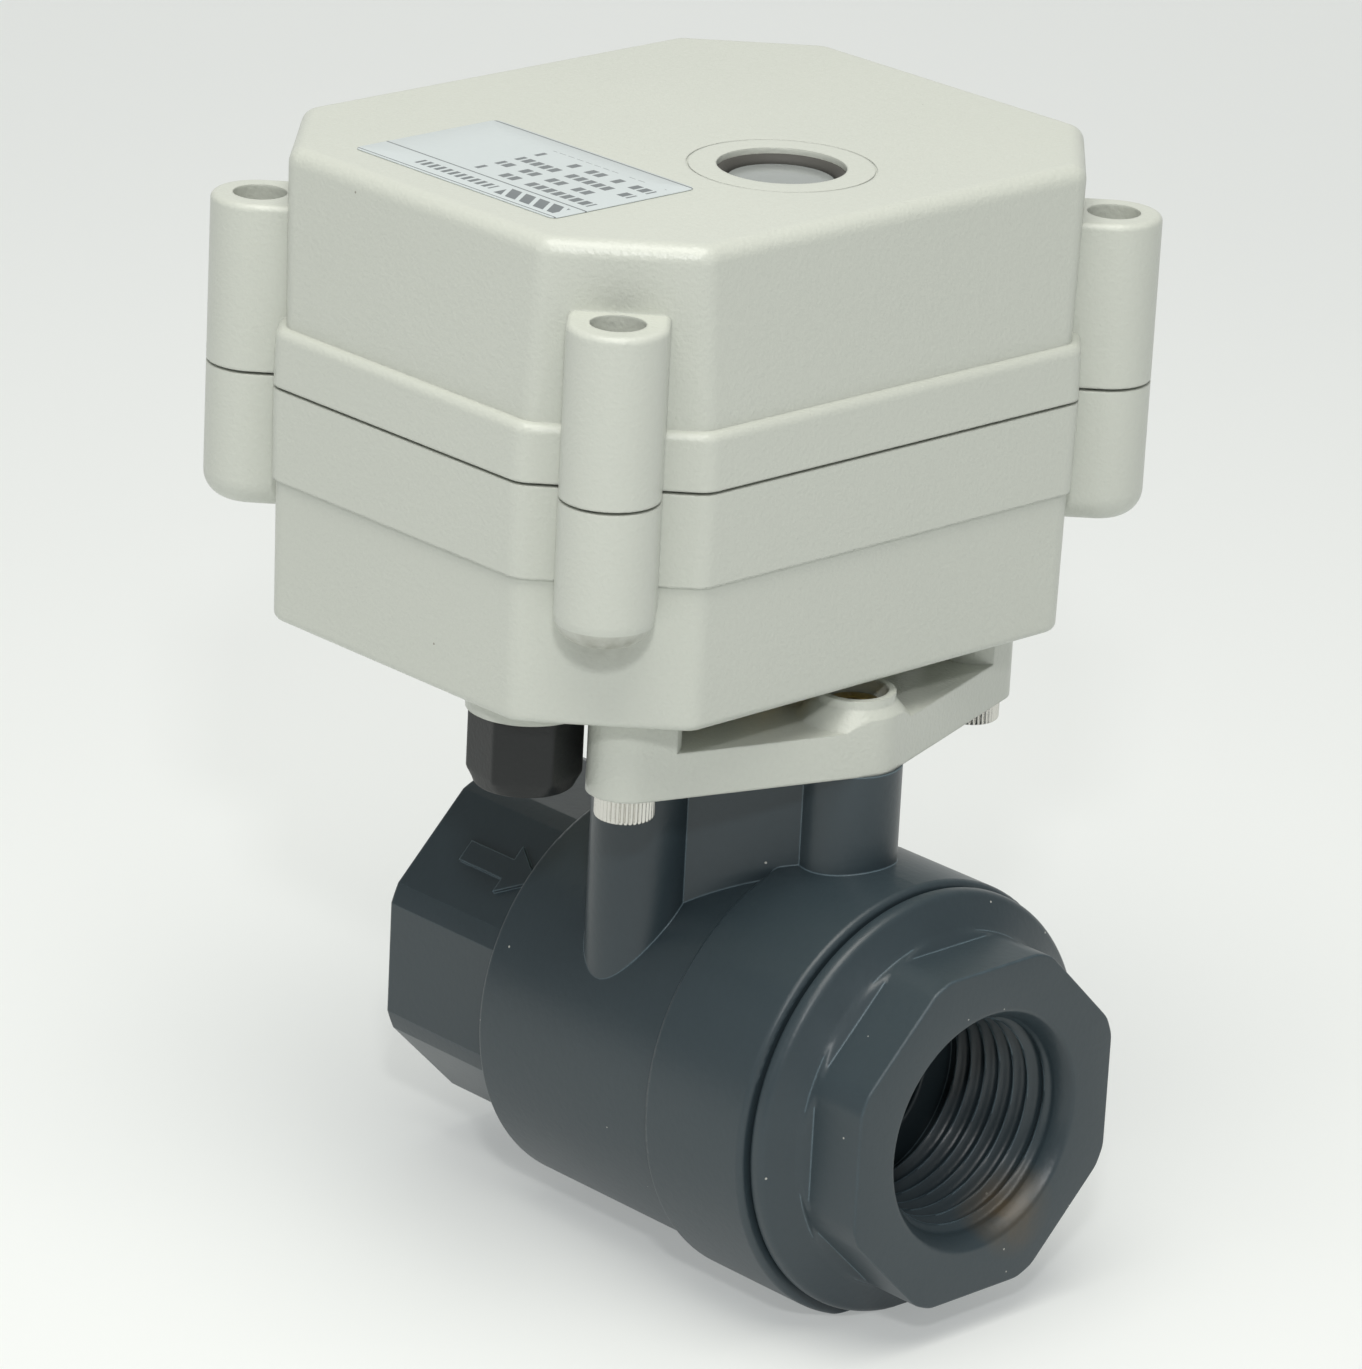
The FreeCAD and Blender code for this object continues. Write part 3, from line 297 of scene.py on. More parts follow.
def place(tree, kind, settings=None, **inputs):
    """Adds a node; settings are its attributes, inputs its sockets by name with _ for a space."""
    made = tree.nodes.new(kind)
    for name, value in (settings or {}).items():
        setattr(made, name, value)
    for name, value in inputs.items():
        feed(tree, made.inputs[name.replace("_", " ")], value)
    return made


def object_place(tree):
    """Object coordinates, in metres."""
    return place(tree, "ShaderNodeTexCoord").outputs["Object"]


def noise(tree, where, scale, detail):
    """Value of a noise texture at a place."""
    made = place(tree, "ShaderNodeTexNoise", Vector=where, Scale=scale, Detail=detail)
    return made.outputs[0]


def sum_of(tree, operation, *values, clamp=False):
    """Math node over one or more values or sockets."""
    made = tree.nodes.new("ShaderNodeMath")
    made.operation = operation
    made.use_clamp = clamp
    for socket, value in zip(made.inputs, values):
        feed(tree, socket, value)
    return made.outputs[0]


def product(tree, first, *others):
    """One value times each of the others in turn."""
    for other in others:
        first = sum_of(tree, "MULTIPLY", first, other)
    return first


def greatest(tree, first, *others):
    """Greatest of several values."""
    for other in others:
        first = sum_of(tree, "MAXIMUM", first, other)
    return first


def between(tree, value, low, high):
    """One where a value lies between two others, else nought."""
    return product(tree, sum_of(tree, "GREATER_THAN", value, low),
                   sum_of(tree, "LESS_THAN", value, high))


def tint(tree, factor, a, b):
    """Mix of two colours, each a socket or an RGB triple."""
    made = tree.nodes.new("ShaderNodeMix")
    made.data_type = "RGBA"
    feed(tree, made.inputs[0], factor)
    for socket, colour in ((made.inputs[6], a), (made.inputs[7], b)):
        feed(tree, socket, colour if isinstance(colour, bpy.types.NodeSocket) else (*colour, 1.0))
    return made.outputs[2]


def start_group(name, inputs, **outputs):
    """New node group with number inputs and the given outputs, each a kind of socket."""
    tree = bpy.data.node_groups.new(name, "ShaderNodeTree")
    for label, default in inputs:
        made = tree.interface.new_socket(name=label, in_out="INPUT",
                                         socket_type="NodeSocketFloat")
        made.default_value = default
    for label, kind in outputs.items():
        tree.interface.new_socket(name=label, in_out="OUTPUT", socket_type="NodeSocket" + kind)
    given = tree.nodes.new("NodeGroupInput").outputs
    return tree, given, tree.nodes.new("NodeGroupOutput").inputs


def grain_group():
    """Moulded grain: fine noise for the height, and fine and broad noise for shade and gloss."""
    tree, given, out = start_group(
        "Moulded grain", [("Scale", 3200.0), ("Shade span", 0.05), ("Broad span", 0.05)],
        Height="Float", Shade="Float", Gloss="Float")
    where = object_place(tree)
    fine = noise(tree, where, given["Scale"], 2.0)
    broad = noise(tree, where, product(tree, given["Scale"], 0.02), 4.0)
    fine_part = product(tree, sum_of(tree, "SUBTRACT", fine, 0.5), given["Shade span"])
    broad_part = product(tree, sum_of(tree, "SUBTRACT", broad, 0.5), given["Broad span"])
    shade = sum_of(tree, "ADD", sum_of(tree, "ADD", 1.0, fine_part), broad_part)
    tree.links.new(fine, out["Height"])
    tree.links.new(shade, out["Shade"])
    tree.links.new(broad, out["Gloss"])


def edge_wear_and_glint_group():
    """Pale edges, as wear and, where a finish gives a strong tint, as a painted glint: a normal
    rounded over a small radius, and a mask broken up with noise. The mask is 0.985 less the dot
    product of the rounded and the true normal, times the strength and the noise."""
    tree, given, out = start_group("Edge wear and painted glint", [("Radius", 0.0003), ("Strength", 6.0)],
                                   Mask="Float", Normal="Vector")
    rounded = place(tree, "ShaderNodeBevel", {"samples": 4}, Radius=given["Radius"]).outputs[0]
    true = place(tree, "ShaderNodeNewGeometry").outputs["Normal"]
    dot = place(tree, "ShaderNodeVectorMath", {"operation": "DOT_PRODUCT"})
    tree.links.new(rounded, dot.inputs[0])
    tree.links.new(true, dot.inputs[1])
    bend = sum_of(tree, "SUBTRACT", 0.985, dot.outputs["Value"])
    strength = product(tree, given["Strength"], noise(tree, object_place(tree), 900.0, 3.0))
    tree.links.new(sum_of(tree, "MULTIPLY", bend, strength, clamp=True), out["Mask"])
    tree.links.new(rounded, out["Normal"])


def speck_group():
    """Dust specks: the middles of a few random cells of a Voronoi pattern."""
    tree, given, out = start_group(
        "Dust specks", [("Scale", 420.0), ("Amount", 0.05), ("Size", 0.09)], Mask="Float")
    cells = place(tree, "ShaderNodeTexVoronoi", Vector=object_place(tree), Scale=given["Scale"])
    picked = place(tree, "ShaderNodeSeparateColor", Color=cells.outputs["Color"]).outputs[0]
    near = sum_of(tree, "LESS_THAN", cells.outputs["Distance"], given["Size"])
    few = sum_of(tree, "LESS_THAN", picked, given["Amount"])
    tree.links.new(product(tree, near, few), out["Mask"])


def use_group(tree, name, **inputs):
    """Outputs of a node group placed in a material with its own values."""
    made = tree.nodes.new("ShaderNodeGroup")
    made.node_tree = bpy.data.node_groups[name]
    for label, value in inputs.items():
        made.inputs[label.replace("_", " ")].default_value = value
    return made.outputs


# --- materials ---------------------------------------------------------------------------
def start_material(slot, **shader):
    """New node material whose Principled shader takes the given plain values."""
    material = bpy.data.materials.new(slot + " finish")
    material.use_nodes = True
    tree = material.node_tree
    principled = tree.nodes["Principled BSDF"]
    for name, value in shader.items():
        principled.inputs[name.replace("_", " ")].default_value = value
    return tree, principled.inputs


def moulded(slot, colour, rough, grain=3200.0, relief=0.00002, edge=(0.0003, 3.0), edge_wear_and_glint_tint=1.25,
            dust=0.0, dust_tint=(0.7, 0.7, 0.68), shade=0.06, broad=0.06, rough_span=0.10,
            **shader):
    """Moulded plastic, rubber or ceramic: a shaded base, paler edges from wear and, where the edge
    tint is strong, painted glints, with relief and specks. The edge is its rounding in metres and
    the strength of its wear and painted glint."""
    tree, surface = start_material(slot, **shader)
    texture = use_group(tree, "Moulded grain", Scale=grain, Shade_span=shade, Broad_span=broad)
    worn_and_glint = use_group(tree, "Edge wear and painted glint", Radius=edge[0], Strength=edge[1])
    shaded = place(tree, "ShaderNodeVectorMath", {"operation": "SCALE"})
    shaded.inputs[0].default_value = colour
    tree.links.new(texture["Shade"], shaded.inputs["Scale"])
    # paler edge colour: wear where the tint is mild, a painted glint where it is strong
    pale = tuple(min(1.0, c * edge_wear_and_glint_tint + 0.02) for c in colour)
    base = tint(tree, worn_and_glint["Mask"], shaded.outputs[0], pale)
    if dust:
        specks = use_group(tree, "Dust specks", Scale=520.0, Amount=dust, Size=0.06)
        base = tint(tree, specks["Mask"], base, dust_tint)
    tree.links.new(base, surface["Base Color"])
    gloss = product(tree, sum_of(tree, "SUBTRACT", texture["Gloss"], 0.5), rough_span)
    tree.links.new(sum_of(tree, "ADD", rough, gloss), surface["Roughness"])
    bump = place(tree, "ShaderNodeBump", Distance=relief, Height=texture["Height"],
                 Normal=worn_and_glint["Normal"])
    tree.links.new(bump.outputs[0], surface["Normal"])
    return tree


def bright_metal(slot, colour, rough, span=0.25):
    """Plated or turned metal: uneven gloss, faint relief and darker tarnish in patches."""
    moulded(slot, colour, rough, grain=2500.0, relief=0.000006, edge=(0.00012, 3.0),
            edge_wear_and_glint_tint=1.2, shade=0.12, broad=0.30, rough_span=span, Metallic=1.0)


def clear_lens(slot):
    """Cloudy clear plastic: part transmission, with a faint broad ripple in its surface."""
    tree, surface = start_material(slot, Base_Color=(0.42, 0.45, 0.44, 1.0), Roughness=0.16,
                                   IOR=1.45, Transmission_Weight=0.35)
    texture = use_group(tree, "Moulded grain", Scale=900.0)
    bump = place(tree, "ShaderNodeBump", Distance=0.00002, Height=texture["Height"])
    tree.links.new(bump.outputs[0], surface["Normal"])


def foil_label(slot, colour):
    """Pale foil with three long rules, and with plain blocks in place of print: rows of them in
    the middle, and a slanted band and a small row along the foot."""
    tree = moulded(slot, colour, 0.36, grain=1400.0, relief=0.000004, edge=(0.0001, 1.0),
                   shade=0.03, broad=0.08, Metallic=0.15)
    low, high = box_mm("name_plate")
    where = place(tree, "ShaderNodeSeparateXYZ", Vector=object_place(tree))
    x, y = (product(tree, where.outputs[k], 1 / MM) for k in range(2))
    rules = [between(tree, y, start, end) for start, end in (
        (high.y - 0.45, high.y - 0.25), (low.y + 0.25, low.y + 0.40),
        (low.y + 3.7, low.y + 3.9))]

    row_foot, row_pitch, block_pitch, blank_share = low.y + 4.4, 2.35, 1.15, 0.32
    rows = sum_of(tree, "DIVIDE", sum_of(tree, "SUBTRACT", y, row_foot), row_pitch)
    cells = product(tree, x, 1 / block_pitch)
    pick = place(tree, "ShaderNodeCombineXYZ", X=sum_of(tree, "FLOOR", cells),
                 Y=sum_of(tree, "FLOOR", rows))
    chance = place(tree, "ShaderNodeTexWhiteNoise", {"noise_dimensions": "2D"},
                   Vector=pick.outputs[0])
    print_rows = product(
        tree, between(tree, sum_of(tree, "FRACT", rows), 0.18, 0.72),
        sum_of(tree, "GREATER_THAN", chance.outputs[0], blank_share),
        between(tree, sum_of(tree, "FRACT", cells), 0.12, 0.86),
        between(tree, y, row_foot, high.y - 2.6), between(tree, x, -14.5, high.x - 1.0))

    slant = sum_of(tree, "FRACT", sum_of(tree, "ADD", product(tree, x, 0.55),
                                         product(tree, y, 0.35)))
    band = product(tree, between(tree, y, low.y + 1.0, low.y + 3.1),
                   between(tree, x, high.x - 9.0, high.x - 1.2),
                   sum_of(tree, "LESS_THAN", slant, 0.72))
    small_pitch = 0.9
    small_row = product(
        tree, between(tree, y, low.y + 1.4, low.y + 2.7),
        between(tree, x, high.x - 20.0, high.x - 10.0),
        between(tree, sum_of(tree, "FRACT", product(tree, x, 1 / small_pitch)), 0.15, 0.75))
    ink = product(tree, greatest(tree, *rules, print_rows, band, small_row), 0.8)
    lay_colour(slot, ink, (0.07, 0.08, 0.09))


def spot(tree, middle, reach, scale):
    """Patchy mask round a point in millimetres: one less the distance over the reach, times
    noise."""
    where = object_place(tree)
    away = place(tree, "ShaderNodeVectorMath", {"operation": "DISTANCE"})
    tree.links.new(where, away.inputs[0])
    away.inputs[1].default_value = [value * MM for value in middle]
    share = sum_of(tree, "DIVIDE", away.outputs["Value"], reach * MM)
    near = sum_of(tree, "SUBTRACT", 1.0, share, clamp=True)
    patchy = product(tree, noise(tree, where, scale, 5.0), 2.4)
    return sum_of(tree, "MULTIPLY", near, patchy, clamp=True)


def lay_colour(slot, mask, colour):
    """Lays a colour over a finish where the mask says."""
    tree = finish(slot).node_tree
    base = tree.nodes["Principled BSDF"].inputs["Base Color"]
    tree.links.new(tint(tree, mask, base.links[0].from_socket, colour), base)


def port_grime(slot):
    """Brown dirt low in the mouth of the front port."""
    mouth_x = box_mm("end_connector")[1].x - 1.6
    tree = finish(slot).node_tree
    mask = spot(tree, (mouth_x, 5.0, PIPE_Z - 9.3), 5.0, 420.0)
    lay_colour(slot, mask, (0.075, 0.06, 0.04))


def lug_painted_shadow(slot):
    """Painted shadow: a dull, slightly darker brownish patch at the foot of the front lug."""
    low, high = box_mm("base_housing")
    tree = finish(slot).node_tree
    where = place(tree, "ShaderNodeSeparateXYZ", Vector=object_place(tree))
    foot = sum_of(tree, "LESS_THAN", where.outputs[2], 0.0690)
    patch = spot(tree, (high.x - 3.6, low.y + 3.4, 66.5), 5.6, 900.0)
    # painted shadow: the lug's foot darkened to a brownish grey
    lay_colour(slot, product(tree, foot, patch, 0.9), (0.27, 0.265, 0.22))


def make_finishes(colours):
    """Makes the shader groups and then one material for each slot."""
    grain_group()
    edge_wear_and_glint_group()
    speck_group()
    moulded("housing_grey", colours.housing, 0.33, grain=2400.0, relief=0.00006,
            edge=(0.0003, 2.0), edge_wear_and_glint_tint=1.15, dust=0.012, dust_tint=(0.30, 0.29, 0.25),
            shade=0.05, broad=0.035, rough_span=0.12)
    # painted shadow at the foot of the front lug
    lug_painted_shadow("housing_grey")
    # edge strength 20 and tint 4.4: the pale lines on the valve's edges are painted glints
    moulded("grey_upvc", colours.valve, 0.36, grain=1500.0, relief=0.00002,
            edge=(0.00022, 20.0), edge_wear_and_glint_tint=4.4, dust=0.09, dust_tint=(0.45, 0.45, 0.42),
            shade=0.10, broad=0.25, rough_span=0.22)
    port_grime("grey_upvc")
    moulded("black_nylon", colours.nylon, 0.50, grain=2600.0, relief=0.00003,
            edge=(0.0003, 3.0), edge_wear_and_glint_tint=2.0, dust=0.04, shade=0.12, broad=0.2)
    moulded("black_rubber", (0.060, 0.058, 0.052), 0.72, grain=2200.0, relief=0.00003)
    bright_metal("zinc_steel", (0.62, 0.63, 0.66), 0.34)
    bright_metal("knurled_steel", (0.64, 0.63, 0.59), 0.26, span=0.16)
    bright_metal("brassy_steel", (0.50, 0.38, 0.16), 0.36)
    bright_metal("turned_steel", (0.56, 0.57, 0.60), 0.28)
    bright_metal("brass", (0.72, 0.52, 0.22), 0.30)
    bright_metal("sintered_bronze", (0.44, 0.29, 0.15), 0.52)
    clear_lens("clear_lens")
    foil_label("foil_label", colours.foil)
    moulded("white_dial", (0.62, 0.63, 0.62), 0.40, grain=2600.0)
    moulded("red_pointer", colours.pointer, 0.30, grain=2600.0)
    moulded("white_acetal", (0.72, 0.72, 0.68), 0.34, grain=2200.0)
    moulded("white_ptfe", (0.80, 0.80, 0.78), 0.46, grain=1800.0)
    moulded("green_board", (0.015, 0.16, 0.06), 0.30, grain=900.0, broad=0.5)
    moulded("green_plastic", (0.04, 0.26, 0.10), 0.40, grain=2400.0)
    moulded("ferrite", (0.06, 0.06, 0.065), 0.62, broad=0.4)


# --- operators ---------------------------------------------------------------------------
class VALVE_OT_finishes(bpy.types.Operator):
    """Makes every finish and gives each carried-over node its own"""
    bl_idname = "valve.finishes"
    bl_label = "Finishes"

    def execute(self, context):
        make_finishes(context.scene.valve_colours)
        for name, node in frame["nodes"].items():
            node.data.materials.clear()
            node.data.materials.append(finish(SLOT_OF_NODE[name]))
        return {"FINISHED"}


class VALVE_OT_connector(bpy.types.Operator):
    """Front end connector: flange, sloping shoulder, octagon with turned corners, tapped port"""
    bl_idname = "valve.connector"
    bl_label = "End connector"

    def execute(self, context):
        """The radius in each row is the smooth least of an octagon of that row's apothem and a
        circle of its turned radius. The rows run from the spigot over the flange to the front
        face and back down the threaded port and the waterway, and close on themselves. Whatever
        would lie below the floor is raised to it, which leaves a flat level with the body's
        foot."""
        sizes = context.scene.valve_thread
        low, high = box_mm("end_connector")
        back, front = low.x, high.x
        theta = angles(sizes.columns)
        flange = soften([(22.6, SPIGOT_R), (23.25, SPIGOT_R), (23.25, FLANGE_R),
                         (24.75, FLANGE_R), (26.0, 17.35)], 0.62, steps=7, closed=False)
        fall = np.linspace(1, 0, 7)[1:, None]
        shoulder_x = SHOULDER_X - fall
        shoulder_r = np.maximum(OCTAGON_APOTHEM + 1.45 * fall, CORNER_R)
        shoulder_flats = OCTAGON_APOTHEM + 1.35 * fall
        nose = np.linspace(NOSE_X, front - NOSE_BEVEL, 6)[:, None]
        bead = np.linspace(0, np.pi / 2, 6)[:, None]
        edge_x = front - NOSE_BEVEL + NOSE_BEVEL * np.sin(bead)
        inward = NOSE_BEVEL * (1 - np.cos(bead))
        x = np.vstack([[[back]], flange[:, :1], shoulder_x, nose, edge_x])
        circle = np.vstack([[[SPIGOT_R]], flange[:, 1:], shoulder_r, nose * 0 + CORNER_R,
                            CORNER_R - inward])
        flats = np.vstack([[[UNBOUNDED_R]], flange[:, 1:] * 0 + UNBOUNDED_R, shoulder_flats,
                           nose * 0 + OCTAGON_APOTHEM, OCTAGON_APOTHEM - inward])
        outside = least(polygon_radius(theta, 8, flats), circle + 0 * theta)
        mouth = soften([(front, MOUTH_R), (front, THROAT_R), (front - THREAD_START, PORT_BORE_R)],
                       0.3, closed=False)
        travel = thread_rows(sizes)
        wall = thread_radius(travel, theta, sizes, 1)
        stop = front - THREAD_START - sizes.length
        bottom = soften([(stop, PORT_BORE_R), (stop - 0.2, WATERWAY_R), (back, WATERWAY_R)],
                        0.3, closed=False)
        grid = np.vstack([
            about_pipe(x, outside, theta),
            about_pipe(mouth[:, :1], mouth[:, 1:], theta),
            about_pipe(front - THREAD_START - travel, wall, theta)[1:-1],
            about_pipe(bottom[:, :1], bottom[:, 1:], theta),
        ])
        grid[..., 2] = np.maximum(grid[..., 2], 0.0)
        make_piece("end_connector_shell", [grid], "grey_upvc", ["end_connector"], poles=False)
        return {"FINISHED"}


class VALVE_OT_rear_thread(bpy.types.Operator):
    """Thread of the rear port, a sleeve in the plain bore of the body"""
    bl_idname = "valve.rear_thread"
    bl_label = "Rear thread"

    def execute(self, context):
        """Inner rows follow the thread's wave. Outer rows are a plain cylinder just inside the
        body."""
        sizes = context.scene.valve_thread
        start = box_mm("valve_body")[0].x + THREAD_START
        theta = angles(sizes.columns)
        travel = thread_rows(sizes)
        inner = about_pipe(start + travel, thread_radius(travel, theta, sizes, -1), theta)
        span = start + np.array([[sizes.length], [0.0]])
        outer = about_pipe(span, PORT_BORE_R + SLEEVE_WALL, theta)
        make_piece("rear_port_thread", [np.vstack([inner, outer])], "grey_upvc", poles=False)
        return {"FINISHED"}


def cap_screw(x, y, seat, up, head, shank, sizes, knurled):
    """Grid of a socket cap screw, from the tip's pole to the pole in the socket. The knurled
    side's radius is the head's less twice the knurl's depth where the absolute cosine of half
    the knurl count times theta is nought. The socket is a hexagon."""
    head_r, head_h = head
    shank_r, length = shank
    edge = sizes.edge
    socket_r = head_r * 0.46
    theta = angles(288 if knurled else 72)
    bead = np.linspace(0, np.pi / 2, 5)
    rounding = np.stack([head_h - edge + edge * np.sin(bead), head_r - edge + edge * np.cos(bead),
                         0 * bead, 1 - bead / bead[-1]], -1)
    # Height, radius, share of the hexagon and share of the knurl
    z, r, hexagon, knurl = np.vstack([
        [(-length, shank_r * 0.5, 0, 0), (-length, shank_r - 0.25, 0, 0),
         (-length + 0.35, shank_r, 0, 0), (0, shank_r, 0, 0), (0, head_r - 0.1, 0, 0),
         (0.1, head_r, 0, 1), (0.3, head_r, 0, 1), (head_h - edge - 0.15, head_r, 0, 1)],
        rounding,
        [(head_h, socket_r * 1.16, 0.6, 0), (head_h - 0.12, socket_r, 1, 0),
         (head_h * 0.42, socket_r, 1, 0), (head_h * 0.36, socket_r * 0.4, 0, 0)],
    ]).T[:, :, None]
    corner = 1 + hexagon * (polygon_radius(theta, 6, 1.0) - 1)
    if knurled:
        wave = np.abs(np.cos(sizes.knurls / 2 * theta)) - 1
        corner = corner * (1 + 2 * knurl * sizes.knurl_depth * wave)
    return about_upright(x, y, seat + up * z, r * corner, theta)


def screw_places(node, count):
    """Axes of two or four like screws in one node: its vertices are parted by side, or by
    quarter turn about the middle, and each part's box gives an axis."""
    mesh = frame["nodes"][node].data
    points = np.zeros(len(mesh.vertices) * 3, np.float32)
    mesh.vertices.foreach_get("co", points)
    points = points.reshape(-1, 3) / MM
    middle = (points.max(0) + points.min(0)) / 2
    if count == 2:
        sides = [points[:, 1] > middle[1], points[:, 1] <= middle[1]]
    else:
        turn = np.arctan2(points[:, 1] - middle[1], points[:, 0] - middle[0])
        start = 0.0 if node == "cover_screws" else math.pi / 4
        quarter = np.floor((turn - start) / (math.pi / 2)) % 4
        sides = [quarter == k for k in range(4)]
    return [((points[s].max(0) + points[s].min(0)) / 2)[:2] for s in sides]


def make_screws(name, node, count, up, head, shank, sizes, slot, knurled=True):
    """Socket screws on one node's axes, their heads' tops at the end of its box that is up."""
    low, high = box_mm(node)
    seat = high.z - head[1] if up > 0 else low.z + head[1]
    grids = [cap_screw(x, y, seat, up, head, shank, sizes, knurled)
             for x, y in screw_places(node, count)]
    make_piece(name, grids, slot, [node])


class VALVE_OT_bracket_screws(bpy.types.Operator):
    """Knurled socket screws that hold the bracket to the housing, heads down"""
    bl_idname = "valve.bracket_screws"
    bl_label = "Bracket screws"

    def execute(self, context):
        make_screws("knurled_bracket_screws", "bracket_screws", 2, -1, SCREW_HEAD, (1.5, 10.0),
                    context.scene.valve_screws, "knurled_steel")
        return {"FINISHED"}


class VALVE_OT_pocket_screws(bpy.types.Operator):
    """Socket screws in the bracket's pockets, heads up"""
    bl_idname = "valve.pocket_screws"
    bl_label = "Pocket screws"

    def execute(self, context):
        make_screws("knurled_pocket_screws", "valve_screws", 4, 1, SCREW_HEAD, (1.5, 11.0),
                    context.scene.valve_screws, "brassy_steel")
        return {"FINISHED"}


class VALVE_OT_cover_screws(bpy.types.Operator):
    """Socket screws deep in the lug holes"""
    bl_idname = "valve.cover_screws"
    bl_label = "Cover screws"

    def execute(self, context):
        make_screws("lug_hole_screws", "cover_screws", 4, 1, SMALL_HEAD, (1.25, 14.0),
                    context.scene.valve_screws, "zinc_steel", knurled=False)
        return {"FINISHED"}


class VALVE_OT_gland_nut(bpy.types.Operator):
    """Hexagonal gland nut with a chamfered lower end"""
    bl_idname = "valve.gland_nut"
    bl_label = "Gland nut"

    def execute(self, context):
        """Each row's radius is the smooth least of a hexagon and of a circle, which closes in
        over the chamfer. The rows run down the outside and back up the stepped bore."""
        low, high = box_mm("gland_nut")
        cx, cy = centre_mm("gland_nut").xy
        step_z = low.z + 2.0
        outside = soften([(high.z, 4.1, NUT_APOTHEM), (high.z, NUT_CORNER_R, NUT_APOTHEM),
                          (low.z + 1.3, NUT_CORNER_R, NUT_APOTHEM), (low.z, NUT_END_R, 4.42),
                          (low.z, 2.5, NUT_APOTHEM)], 0.22, steps=6, closed=False)
        bore = soften([(low.z, 2.45, UNBOUNDED_R), (low.z, NUT_COLLAR_R, UNBOUNDED_R),
                       (step_z, NUT_COLLAR_R, UNBOUNDED_R), (step_z, NUT_BORE_R, UNBOUNDED_R),
                       (high.z, NUT_BORE_R, UNBOUNDED_R)], 0.15, steps=4, closed=False)
        z, circle, flats = np.vstack([outside, bore]).T[:, :, None]
        theta = angles(192)
        radius = least(polygon_radius(theta - NUT_TURN, 6, flats), circle + 0 * theta, 120.0)
        grid = about_upright(cx, cy, z, radius, theta)
        make_piece("gland_nut_shell", [grid], "black_nylon", ["gland_nut"], poles=False,
                   crease=50.0)
        return {"FINISHED"}


class VALVE_OT_window(bpy.types.Operator):
    """Window in the cover: domed clear lens and the seal ring that holds it"""
    bl_idname = "valve.window"
    bl_label = "Window"

    def execute(self, context):
        """Both are profiles turned about the stem's axis. The lens's top falls off with the
        square of the radius."""
        seal_low, seal_high = box_mm("window_seal")
        crown_z, crown_fall = seal_high.z - 0.4, 0.3
        foot = box_mm("window_lens")[0].z
        flange_z = foot + 1.2
        r = np.linspace(LENS_CROWN_R, 0.5, 9)[1:]
        crown = np.stack([crown_z - crown_fall * (r / LENS_CROWN_R) ** 2, r], -1)
        rim = soften([(foot + 0.15, 1.0), (foot, LENS_R), (flange_z, LENS_R),
                      (flange_z, LENS_NECK_R), (crown_z - 0.32, LENS_NECK_R),
                      (crown_z - crown_fall, LENS_CROWN_R)], 0.25, closed=False)
        make_piece("window_lens_shell", [turned_about_stem(np.vstack([rim, crown]))],
                   "clear_lens", ["window_lens"])
        ring = soften([(seal_low.z, SEAL_IN_R), (seal_low.z, SEAL_OUT_R),
                       (seal_high.z, SEAL_OUT_R), (seal_high.z, 5.5), (seal_high.z - 0.5, 5.0)],
                      0.25)
        make_piece("window_seal_ring", [turned_about_stem(ring)], "black_rubber",
                   ["window_seal"], poles=False)
        return {"FINISHED"}


class VALVE_OT_dial(bpy.types.Operator):
    """Position dial under the window, with a raised rim and four marks"""
    bl_idname = "valve.dial"
    bl_label = "Position dial"

    def execute(self, context):
        """A turned profile whose height gains a small step near the rim in four directions."""
        theta = angles(180)
        low, high = box_mm("indicator_disc")
        top, step = high.z, 0.12
        under, face = top - 1.2, top - step
        z, r = np.array([
            (under, 2.55), (low.z, 2.6), (low.z, 3.35), (under, DIAL_HUB_R), (under, DIAL_R),
            (top - 0.05, DIAL_R), (top, 4.88), (top, 4.65), (face, 4.6), (face, DIAL_HUB_R),
            (face, 3.3), (face, 0.6)]).T[:, :, None]
        from_mark = np.abs((theta + np.pi / 4) % (np.pi / 2) - np.pi / 4)
        mark = np.clip(1.6 - from_mark * 22, 0, 1)
        raised = step * mark * ((r > 3.35) & (r < 4.62) & (z > top - 0.2))
        grid = about_upright(0, 0, z + raised, r, theta)
        make_piece("position_dial", [grid], "white_dial", ["indicator_disc"],
                   body="output_train")
        return {"FINISHED"}


class VALVE_OT_label(bpy.types.Operator):
    """Rating label, a thin sheet with rounded corners whose edge is pressed down"""
    bl_idname = "valve.label"
    bl_label = "Label"

    def execute(self, context):
        """The outline is a rectangle with rounded corners. Rows scale it about its middle, and
        the top falls by a small step at the edge."""
        low, high = box_mm("name_plate")
        middle, half = (low + high) / 2, (high - low) / 2
        outline = soften([(-half.x, -half.y), (half.x, -half.y), (half.x, half.y),
                          (-half.x, half.y)], 0.9, steps=9)
        rows = np.array([(low.z + 0.01, 0.3), (low.z + 0.01, 0.996), (low.z + 0.05, 1.0),
                         (high.z - 0.03, 0.9985), (high.z, 0.992), (high.z, 0.6), (high.z, 0.2)])
        z, scale = rows[:, :1, None], rows[:, 1:, None]
        flat = np.array([middle.x, middle.y]) + outline[None] * scale
        grid = np.concatenate([flat, np.broadcast_to(z, (*flat.shape[:2], 1))], -1)
        make_piece("rating_label", [grid], "foil_label", ["name_plate"])
        return {"FINISHED"}


def area_light(name, place_at, size, power, colour):
    """Square soft light at a place, aimed at the object's middle, in metres and watts."""
    data = bpy.data.lights.new(name, "AREA")
    data.size = size
    data.energy = power
    data.color = colour
    light = bpy.data.objects.new(name, data)
    light.location = place_at
    aim = Vector((0.0, 0.0, 0.06)) - Vector(place_at)
    light.rotation_euler = aim.to_track_quat("-Z", "Y").to_euler()
    bpy.context.scene.collection.objects.link(light)


